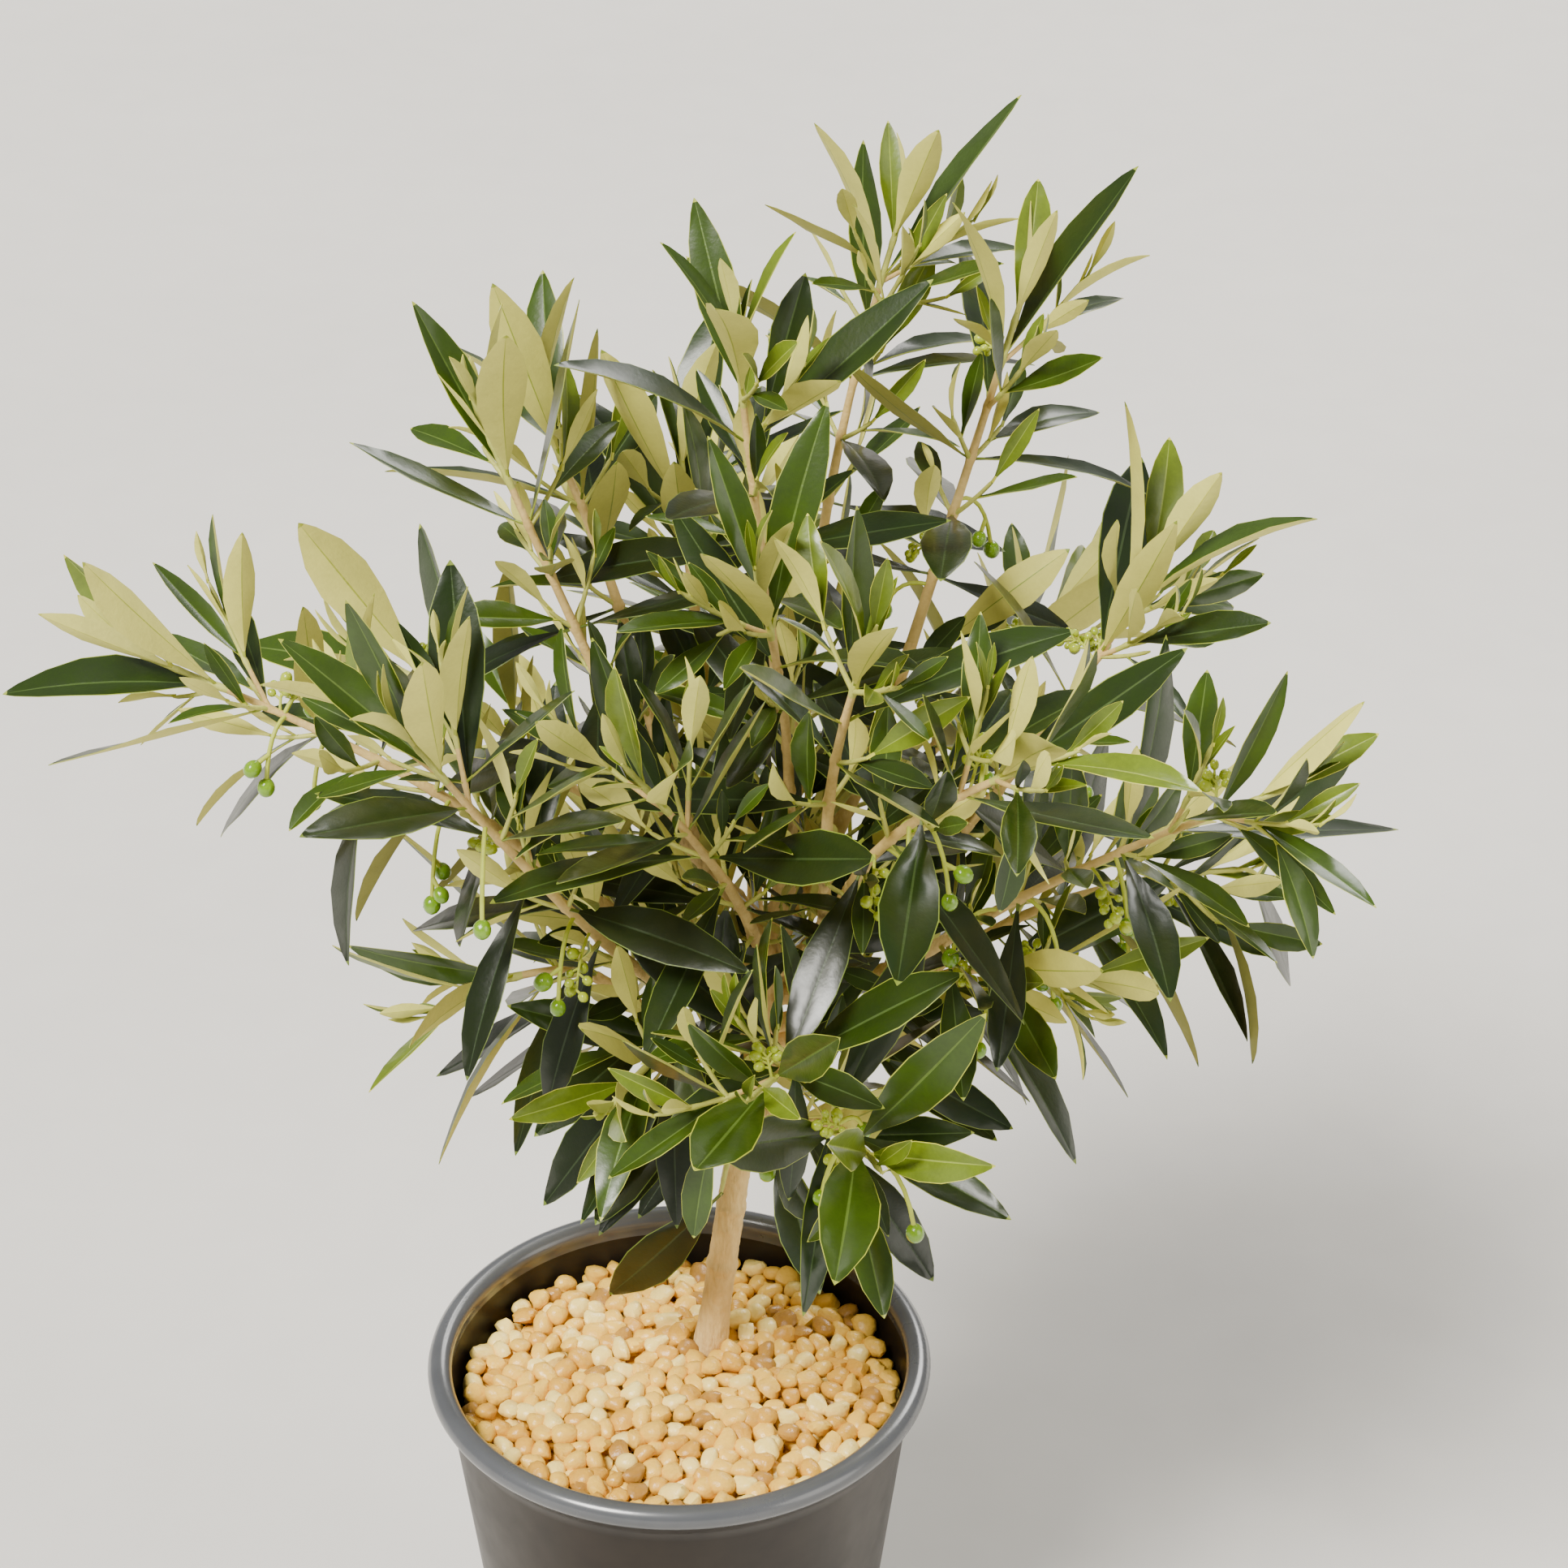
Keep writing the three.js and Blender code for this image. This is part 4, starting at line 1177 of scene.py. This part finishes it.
def leaf_faces():
    """The faces of one leaf and the side that each belongs to. Those below start at another corner,
    so that both sides of the blade are split along the same diagonals."""
    sides = len(RING_ACROSS)
    faces = ring_faces(len(LEAF_ROWS), sides)
    strips = (len(LEAF_ROWS) - 1) * sides
    for i in range(strips):
        if i % sides < STRIPS_BELOW:
            faces[i] = faces[i][1:] + faces[i][:1]
    plain = [MARGIN] * sides
    caps = [MARGIN, MARGIN]
    return faces, plain + STRIP_FINISH * (len(LEAF_ROWS) - 3) + plain + caps


LOOKS_OLDER = 0.85
LOOKS_SPREAD = 0.7


def age_class(leaf, draw):
    """Which of the leaf ages a leaf shows."""
    return int(min(max(leaf.age * LOOKS_OLDER + spread(draw, LOOKS_SPREAD), 0), len(LEAF_AGES) - 1))


def make_leaves(name, grown, draw):
    faces, kinds = leaf_faces()
    parts = []
    for leaf in grown:
        first_slot = age_class(leaf, draw) * len(LEAF_AGES[0])
        parts.append((leaf_points(leaf, draw), faces, [first_slot + kind for kind in kinds]))
    return joined_piece(name, parts, [material for age in LEAF_AGES for material in age])


for shoot, stem, draw in drawn_shoots(SPRAY_SEED):
    grown = [leaf for leaf in leaves.members if leaf.stem is stem]
    spray = make_leaves(f"leaf_sprays_{shoot.name}", grown, draw)
    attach(spray, "root")
    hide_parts(f"leaves_{shoot.name}")


# Twigs and stalks are tubes of rings. A twig swells at each leaf pair.
TWIG_SIDES = 8
TWIG_ROWS = 10
TIP_GREEN = 26
TAN_SLOT, GREEN_SLOT = 0, 1
SWELLING = 0.28
SWELLING_WIDTH = 1.4
SWELLING_REACH = 2
ROUNDED_END = 0.03
ROUNDED_LOSS = 0.5
FOOT_OVERLAP = 3
STALK_ROWS = 7
CLUSTER_ROWS = 6
YOUNG_STALK_ROWS = 3


def tube_rings(limb, rows, radius_at):
    angles = np.arange(TWIG_SIDES) * 2 * math.pi / TWIG_SIDES
    rings = []
    for t in rows:
        point, _, side, lift = limb.frame(t)
        ring = np.cos(angles)[:, None] * side + np.sin(angles)[:, None] * lift
        rings.append(point + ring * radius_at(t))
    return np.concatenate(rings)


def make_tubes(name, tubes, materials):
    """One piece of tubes, each given as a limb, its rows, and its radius and finish at each place."""
    parts = []
    for limb, rows, radius_at, finish_at in tubes:
        slots = [finish_at(t) for t in rows[:-1] for _ in range(TWIG_SIDES)]
        slots += [finish_at(rows[0]), finish_at(rows[-1])]
        parts.append((tube_rings(limb, rows, radius_at), ring_faces(len(rows), TWIG_SIDES), slots))
    return joined_piece(name, parts, materials)


def twig_tube(limb, swollen=True):
    nodes = [t for _, t in leaf_nodes(limb)] if swollen else []
    reach = SWELLING_REACH / limb.length
    near_nodes = [t + step for t in nodes for step in (-reach, 0, reach)]
    rows = np.unique(np.concatenate([np.linspace(0, 1, TWIG_ROWS), near_nodes]))
    rows = rows[(rows >= 0) & (rows <= 1)]

    def radius_at(t):
        swell = sum(math.exp(-((t - node) * limb.length / SWELLING_WIDTH) ** 2) for node in nodes)
        rounded = 1 - ROUNDED_LOSS * max(0, (t - (1 - ROUNDED_END)) / ROUNDED_END)
        return limb.radius(t) * (1 + SWELLING * min(swell, 1)) * rounded

    def finish_at(t):
        return GREEN_SLOT if (1 - t) * limb.length < TIP_GREEN else TAN_SLOT

    return limb, list(rows), radius_at, finish_at


def joined_to_bough(stem, bough):
    """The stem with its foot moved back into its bough, so that no gap shows."""
    foot = stem.start - bough.tangent(1) * FOOT_OVERLAP
    return Limb(foot, stem.middle, stem.end, STEM_ROOT_RADIUS, STEM_TIP_RADIUS)


def stalk_tube(stalk, rows):
    return stalk, list(np.linspace(0, 1, rows)), stalk.radius, lambda t: 0


twig_tubes = [twig_tube(joined_to_bough(stems[shoot.name], boughs[shoot.name])) for shoot in SHOOTS]
twig_tubes += [twig_tube(twig) for grown in side_twigs.values() for twig in grown]
twig_tubes += [twig_tube(twig, swollen=False) for twig in (hanging_twig, *tufts)]
twigs = make_tubes("twigs", twig_tubes, [twig_tan, twig_green])
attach(twigs, "root")

stalk_tubes = [stalk_tube(stalk, STALK_ROWS) for stalk, _ in olives]
for stalk, found in clusters:
    stalk_tubes.append(stalk_tube(stalk, CLUSTER_ROWS))
    stalk_tubes += [stalk_tube(own_stalk, YOUNG_STALK_ROWS) for own_stalk, _, _ in found]
stalks = make_tubes("olive_stalks", stalk_tubes, [stalk_green])
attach(stalks, "root")


# Olives, and the young fruit of the clusters
OLIVE_SHAPE = (0.94, 0.94, 1.06)
OLIVE_LEAST = 0.82
OLIVE_SIZE_RANGE = 0.18
OLIVE_SIZE_SEED = 77
OLIVE_FACETS = (14, 9)
YOUNG_FRUIT_FACETS = (8, 6)
ASIDE = np.array([0.3, 1, 0.1])


def make_fruit(name, grown, skin, facets):
    """One piece of all fruit of a kind. Each is given as its stalk, its centre and its radius."""
    model = add_primitive(bpy.ops.mesh.primitive_uv_sphere_add, segments=facets[0], ring_count=facets[1],
                          radius=1)
    shape, faces = taken_shape(model)
    shape = shape * OLIVE_SHAPE
    parts = []
    for stalk, centre, radius in grown:
        down = stalk.tangent(1)
        side = unit(np.cross(down, ASIDE))
        axes = np.stack([side, np.cross(down, side), down])
        parts.append((centre + shape @ axes * radius, faces, [0] * len(faces)))
    piece = joined_piece(name, parts, [skin])
    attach(piece, "root")


draw = drawer(OLIVE_SIZE_SEED)
sized_olives = []
for stalk, centre in olives:
    size = OLIVE_LEAST + OLIVE_SIZE_RANGE * draw()
    sized_olives.append((stalk, centre, OLIVE_RADIUS * size))
young_fruit = [fruit for _, found in clusters for fruit in found]
make_fruit("olives", sized_olives, olive_skin, OLIVE_FACETS)
make_fruit("young_fruit", young_fruit, young_skin, YOUNG_FRUIT_FACETS)


# Bark: limbs bent along curves, with knots at the forks and along them, fused and given their relief
CURVE_STEPS = 24
BEVEL_STEPS = 5
FLARE_TOP = 0.22
FLARE_TOP_SHARE = 0.9
FORK_SWELLING = 1.2
BOUGH_SWELLING = 1.16
TRUNK_SWELLING = 1.1
TRUNK_KNOTS = (0.3, 0.43, 0.56)
KNOT_STEP = 17
KNOT_DIVISIONS = 3
BARK_VOXEL = 0.62
BARK_EASE = 0.5
BARK_EASE_ROUNDS = 3
FURROW_WIDTH = 1.6
FURROW_DEPTH = 0.5
FURROW_DETAIL = 2
BARK_SMOOTHING = 60


def limb_curve(start, middle, end, start_radius, end_radius):
    """A tapering tube. Its handles lie two thirds of the way to the middle, as the limb's arc asks."""
    piece = add_primitive(bpy.ops.curve.primitive_bezier_curve_add)
    spline = piece.data.splines[0]
    spline.radius_interpolation = "LINEAR"
    for point, place, radius in zip(spline.bezier_points, (start, end), (start_radius, end_radius)):
        handle = Vector((place + (middle - place) * 2 / 3) * MM)
        point.handle_left_type = point.handle_right_type = "FREE"
        point.co = Vector(place * MM)
        point.handle_left = handle
        point.handle_right = handle
        point.radius = radius
    first, last = spline.bezier_points
    first.handle_left = first.co
    last.handle_right = last.co
    piece.data.dimensions = "3D"
    piece.data.resolution_u = CURVE_STEPS
    piece.data.bevel_depth = MM
    piece.data.bevel_resolution = BEVEL_STEPS
    piece.data.use_fill_caps = True
    bpy.ops.object.convert(target="MESH")
    return bpy.context.object


def knot(limb, t, swelling):
    return add_primitive(bpy.ops.mesh.primitive_ico_sphere_add, subdivisions=KNOT_DIVISIONS,
                         radius=limb.radius(t) * swelling * MM, location=limb.point(t) * MM)


def rough_limbs():
    """The trunk with its root flare and the boughs, as tubes, with balls for the knots."""
    flare_radii = (TRUNK_RADIUS + FLARE, TRUNK_RADIUS * FLARE_TOP_SHARE)
    pieces = [
        limb_curve(trunk.start, trunk.middle, trunk.end, TRUNK_RADIUS, TRUNK_TOP_RADIUS),
        limb_curve(trunk.start, trunk.point(FLARE_TOP / 2), trunk.point(FLARE_TOP), *flare_radii),
    ]
    for shoot in SHOOTS:
        bough = boughs[shoot.name]
        radii = (bough.start_radius, bough.end_radius)
        pieces.append(limb_curve(bough.start, bough.middle, bough.end, *radii))
        pieces.append(knot(boughs.get(shoot.parent, trunk), shoot.at, FORK_SWELLING))
        for step in range(1, int(bough.length // KNOT_STEP) + 1):
            pieces.append(knot(bough, step * KNOT_STEP / bough.length, BOUGH_SWELLING))
    pieces += [knot(trunk, place, TRUNK_SWELLING) for place in TRUNK_KNOTS]
    return pieces


def make_bark():
    select_only(*rough_limbs())
    bpy.ops.object.join()
    bpy.ops.object.transform_apply()
    piece = bpy.context.object
    piece.name = "bark_limbs"
    fuse = piece.modifiers.new("fuse", "REMESH")
    fuse.mode = "VOXEL"
    fuse.voxel_size = BARK_VOXEL * MM
    ease = piece.modifiers.new("ease", "SMOOTH")
    ease.factor = BARK_EASE
    ease.iterations = BARK_EASE_ROUNDS
    furrows = bpy.data.textures.new("furrows", "CLOUDS")
    furrows.noise_scale = FURROW_WIDTH * MM
    furrows.noise_depth = FURROW_DETAIL
    relief = piece.modifiers.new("relief", "DISPLACE")
    relief.texture = furrows
    relief.strength = FURROW_DEPTH * MM
    apply_modifiers(piece)
    piece.data.materials.clear()
    piece.data.materials.append(bark)
    smooth_piece(piece, BARK_SMOOTHING)
    return piece


bark_limbs = make_bark()
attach(bark_limbs, "root")
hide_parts("trunk", *[f"bough_{shoot.name}" for shoot in SHOOTS])


# Pot: a ring is drawn up from the foot, over the rolled rim and down to the floor inside
FOOT_CURVE = ((-3, 0), (-0.6, 0.2), (0, 1))
WALL_HEIGHTS = (6, 40, 80, 114)
COLLAR_CURVE = ((0.2, 0), (1.2, 1.2))
ROLL_RADIUS = 3.4
ROLL_FROM = -60
ROLL_TO = 205
ROLL_STEPS = 12
INSIDE_HEIGHTS = (121, 119, 80, 40)
FLOOR_CURVE = 1.5
RIM_DEPTH = 6.6
HOLE_SIDES = 32
DRILL_LENGTH = POT_FLOOR * 3
POT_SMOOTHING = 40


def inside_radius(height):
    return FOOT_RADIUS + (SHOULDER_RADIUS - FOOT_RADIUS) / SHOULDER_HEIGHT * height - POT_WALL


def pot_profile():
    foot = [(FOOT_RADIUS + out, up) for out, up in FOOT_CURVE]
    wall = [(inside_radius(z) + POT_WALL, z) for z in WALL_HEIGHTS]
    collar = [(SHOULDER_RADIUS + out, SHOULDER_HEIGHT + up) for out, up in COLLAR_CURVE]
    roll = []
    for step in range(ROLL_STEPS + 1):
        angle = math.radians(mix(ROLL_FROM, ROLL_TO, step / ROLL_STEPS))
        out = RIM_RADIUS - ROLL_RADIUS + ROLL_RADIUS * math.cos(angle)
        up = POT_HEIGHT - ROLL_RADIUS + ROLL_RADIUS * math.sin(angle)
        roll.append((out, up))
    inside = [(inside_radius(z), z) for z in (*INSIDE_HEIGHTS, POT_FLOOR + FLOOR_CURVE)]
    floor = [(inside_radius(POT_FLOOR) - FLOOR_CURVE, POT_FLOOR)]
    return foot + wall + collar + roll + inside + floor


def draw_up_pot():
    (radius, height), *rest = pot_profile()
    piece = add_primitive(bpy.ops.mesh.primitive_circle_add, vertices=POT_SIDES, radius=radius * MM,
                          fill_type="NGON")
    bpy.ops.object.mode_set(mode="EDIT")
    bpy.ops.mesh.select_all(action="SELECT")
    for next_radius, next_height in rest:
        rise = (0, 0, (next_height - height) * MM)
        bpy.ops.mesh.extrude_region_move(TRANSFORM_OT_translate={"value": rise})
        scale = next_radius / radius
        bpy.ops.transform.resize(value=(scale, scale, 1), center_override=(0, 0, next_height * MM))
        radius, height = next_radius, next_height
    bpy.ops.mesh.select_all(action="SELECT")
    bpy.ops.mesh.normals_make_consistent(inside=False)
    bpy.ops.object.mode_set(mode="OBJECT")
    return piece


def drill_floor(piece):
    drills = []
    for i in range(HOLE_COUNT):
        angle = 2 * math.pi * (i + 0.5) / HOLE_COUNT
        place = np.array([HOLE_CIRCLE * math.cos(angle), HOLE_CIRCLE * math.sin(angle), POT_FLOOR / 2])
        drills.append(add_primitive(bpy.ops.mesh.primitive_cylinder_add, location=place * MM,
                                    vertices=HOLE_SIDES, radius=HOLE_RADIUS * MM,
                                    depth=DRILL_LENGTH * MM))
    select_only(*drills)
    bpy.ops.object.join()
    drill = bpy.context.object
    cut = piece.modifiers.new("drainage", "BOOLEAN")
    cut.operation = "DIFFERENCE"
    cut.object = drill
    apply_modifiers(piece)
    bpy.data.objects.remove(drill)


def make_pot():
    piece = draw_up_pot()
    piece.name = "grow_pot"
    drill_floor(piece)
    for material in (pot_plastic, rim_plastic_sheen):
        piece.data.materials.append(material)
    # Faces of the rolled rim take the rim finish, with its painted blue-grey sheen.
    for face in piece.data.polygons:
        face.material_index = int(face.center.z > (POT_HEIGHT - RIM_DEPTH) * MM)
    smooth_piece(piece, POT_SMOOTHING)
    return piece


grow_pot = make_pot()
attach(grow_pot, "root")
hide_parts("pot")


# Gravel: rounded pebbles in layers over the compost, each layer given by its height and its turn
PEBBLE_LAYERS = ((108, 0.0), (111, 0.9), (114, 1.9))
PEBBLE_SPACING = 6
PEBBLE_PACKING = 0.87
PEBBLE_JITTER = 2.6
PEBBLE_HEIGHT_SPREAD = 1.1
PEBBLE_SEED = 4242
WALL_ROOM = 0.6
WALL_GAP = 0.4
TRUNK_ROOM = 3.6
EASING_ROUNDS = 30
EASING = 0.25
FAR_AWAY = 100
PEBBLE_RADIUS = 3.15
PEBBLE_CUTS = 2
PEBBLE_ROUNDING = 0.85
PEBBLE_SIDES = ((0.95, 0.3), (0.75, 0.25), (0.6, 0.25))
PEBBLE_LEAST = 0.86
PEBBLE_SIZE_RANGE = 0.34
PEBBLE_SKEW = 0.3
PEBBLE_LEAN = 0.25
PEBBLE_DENTS = 0.16
DENT_WAVES = 3
PEBBLE_TILT = 0.5
PEBBLE_COLOUR_RANGE = 5.2


def pebble_places(layer, draw):
    """Places of one layer's pebbles on a sunflower spiral, eased apart and off the trunk."""
    height, turn = PEBBLE_LAYERS[layer]
    reach = inside_radius(height) - PEBBLE_RADIUS - WALL_ROOM
    number = int(math.pi * reach * reach / (PEBBLE_SPACING * PEBBLE_SPACING * PEBBLE_PACKING))
    steps = np.arange(number)
    radii = reach * np.sqrt((steps + 0.5) / number)
    angles = np.radians(GOLDEN_ANGLE) * steps + turn
    places = np.stack([radii * np.cos(angles), radii * np.sin(angles)], axis=1)
    places += np.array([[spread(draw, PEBBLE_JITTER), spread(draw, PEBBLE_JITTER)] for _ in steps])
    trunk_place = trunk.point((height - TRUNK_FOOT[2]) / (TRUNK_TOP[2] - TRUNK_FOOT[2]))[:2]
    for _ in range(EASING_ROUNDS):
        away = places[:, None] - places[None]
        distance = np.linalg.norm(away, axis=2) + np.eye(number) * FAR_AWAY
        push = np.clip(PEBBLE_SPACING - distance, 0, None) / distance
        places += (away * push[..., None]).sum(axis=1) * EASING
        from_trunk = places - trunk_place
        gap = np.linalg.norm(from_trunk, axis=1)
        near = gap < TRUNK_RADIUS + TRUNK_ROOM
        places[near] = trunk_place + from_trunk[near] / gap[near, None] * (TRUNK_RADIUS + TRUNK_ROOM)
        out = np.linalg.norm(places, axis=1)
        places[out > reach] *= (reach / out[out > reach])[:, None]
    crown = (GRAVEL_CROWN - GRAVEL_EDGE) * (1 - (np.linalg.norm(places, axis=1) / reach) ** 2)
    lifts = crown * (layer / (len(PEBBLE_LAYERS) - 1))
    return [
        (x, y, height + lift + spread(draw, PEBBLE_HEIGHT_SPREAD)) for (x, y), lift in zip(places, lifts)
    ]


def pebble_model():
    """A cube that is divided and rounded, two across."""
    model = add_primitive(bpy.ops.mesh.primitive_cube_add, size=2)
    bpy.ops.object.mode_set(mode="EDIT")
    bpy.ops.mesh.select_all(action="SELECT")
    bpy.ops.mesh.subdivide(number_cuts=PEBBLE_CUTS)
    bpy.ops.object.mode_set(mode="OBJECT")
    rounding = model.modifiers.new("rounding", "CAST")
    rounding.factor = PEBBLE_ROUNDING
    apply_modifiers(model)
    points, faces = taken_shape(model)
    return points / np.abs(points).max(), faces


def make_stone(shape, draw):
    """A pebble's points round its own middle, skewed, dented and turned."""
    size = np.array([least + more * draw() for least, more in PEBBLE_SIDES])
    size = size * PEBBLE_RADIUS * (PEBBLE_LEAST + PEBBLE_SIZE_RANGE * draw() * draw())
    skew = 1 + PEBBLE_SKEW * shape[:, [1]] * spread(draw, 1)
    skew = skew + PEBBLE_LEAN * shape[:, [0]] * spread(draw, 1)
    waves = np.array([spread(draw, DENT_WAVES) for _ in range(3)])
    skew = skew + PEBBLE_DENTS * np.sin(shape @ waves)[:, None]
    turn = Euler((spread(draw, PEBBLE_TILT), spread(draw, PEBBLE_TILT), draw() * math.pi))
    return (shape * size * skew) @ np.array(turn.to_matrix()).T


def inside_wall(stone):
    """The stone, moved in far enough to stay clear of the pot's wall."""
    over = (np.hypot(stone[:, 0], stone[:, 1]) - inside_radius(stone[:, 2])).max() + WALL_GAP
    outward = unit(stone.mean(axis=0) * (1, 1, 0))
    return stone - outward * max(over, 0)


def make_gravel():
    shape, faces = pebble_model()
    draw = drawer(PEBBLE_SEED)
    parts = []
    for layer in range(len(PEBBLE_LAYERS)):
        for place in pebble_places(layer, draw):
            stone = inside_wall(np.array(place) + make_stone(shape, draw))
            slot = int(min(draw() * draw() * PEBBLE_COLOUR_RANGE, len(PEBBLE_FINISHES) - 1))
            parts.append((stone, faces, [slot] * len(faces)))
    return joined_piece("pebbles", parts, PEBBLE_FINISHES)


pebbles = make_gravel()
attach(pebbles, "root")
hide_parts("gravel")

for slot in frame["nodes"]["root_ball"].material_slots:
    slot.material = compost


# Floor, lights and camera, in metres
FLOOR_SIZE = 60
FLOOR_SINK = 0.0005
LIGHTS = [
    ("window", (-2.9, -3.2, 5.7), 22, 6.6, (1, 0.97, 0.91)),
    ("fill", (5.9, -3.2, 2.1), 38, 1.3, (1, 0.95, 0.86)),
    ("back", (2.3, 4.8, 4.5), 26, 2.3, (1, 0.98, 0.95)),
]
WORLD_COLOUR = (0.92, 0.92, 0.9, 1)
WORLD_STRENGTH = 0.32
CAMERA_PLACE = (0.02913, -0.982, 0.9045)
CAMERA_PITCH = 58.9
CAMERA_LENS = 102.5
CAMERA_SENSOR = 36


def make_floor():
    floor = add_primitive(bpy.ops.mesh.primitive_plane_add, size=FLOOR_SIZE,
                          location=(0, 0, -FLOOR_SINK))
    floor.name = "floor"
    pale = finish("pale_floor", (214, 211, 206), (206, 203, 198), (0.7, 0.8), patch=3, grain=40,
                  relief=0)
    floor.data.materials.append(pale)


def make_light(name, place, width, strength, colour):
    """A soft light from far away, so that it falls evenly on the floor. Its width is in degrees."""
    data = bpy.data.lights.new(name, "SUN")
    data.angle = math.radians(width)
    data.energy = strength
    data.color = colour
    light = bpy.data.objects.new(name, data)
    light.location = place
    light.rotation_euler = (-light.location).to_track_quat("-Z", "Y").to_euler()
    bpy.context.collection.objects.link(light)


def make_world():
    world = bpy.context.scene.world or bpy.data.worlds.new("world")
    bpy.context.scene.world = world
    world.use_nodes = True
    background = world.node_tree.nodes["Background"]
    background.inputs["Color"].default_value = WORLD_COLOUR
    background.inputs["Strength"].default_value = WORLD_STRENGTH


def make_camera():
    data = bpy.data.cameras.new("camera")
    data.sensor_width = CAMERA_SENSOR
    data.lens = CAMERA_LENS
    camera = bpy.data.objects.new("camera", data)
    camera.location = CAMERA_PLACE
    camera.rotation_euler = (math.radians(CAMERA_PITCH), 0, 0)
    bpy.context.collection.objects.link(camera)
    bpy.context.scene.camera = camera


make_floor()
for light in LIGHTS:
    make_light(*light)
make_world()
make_camera()
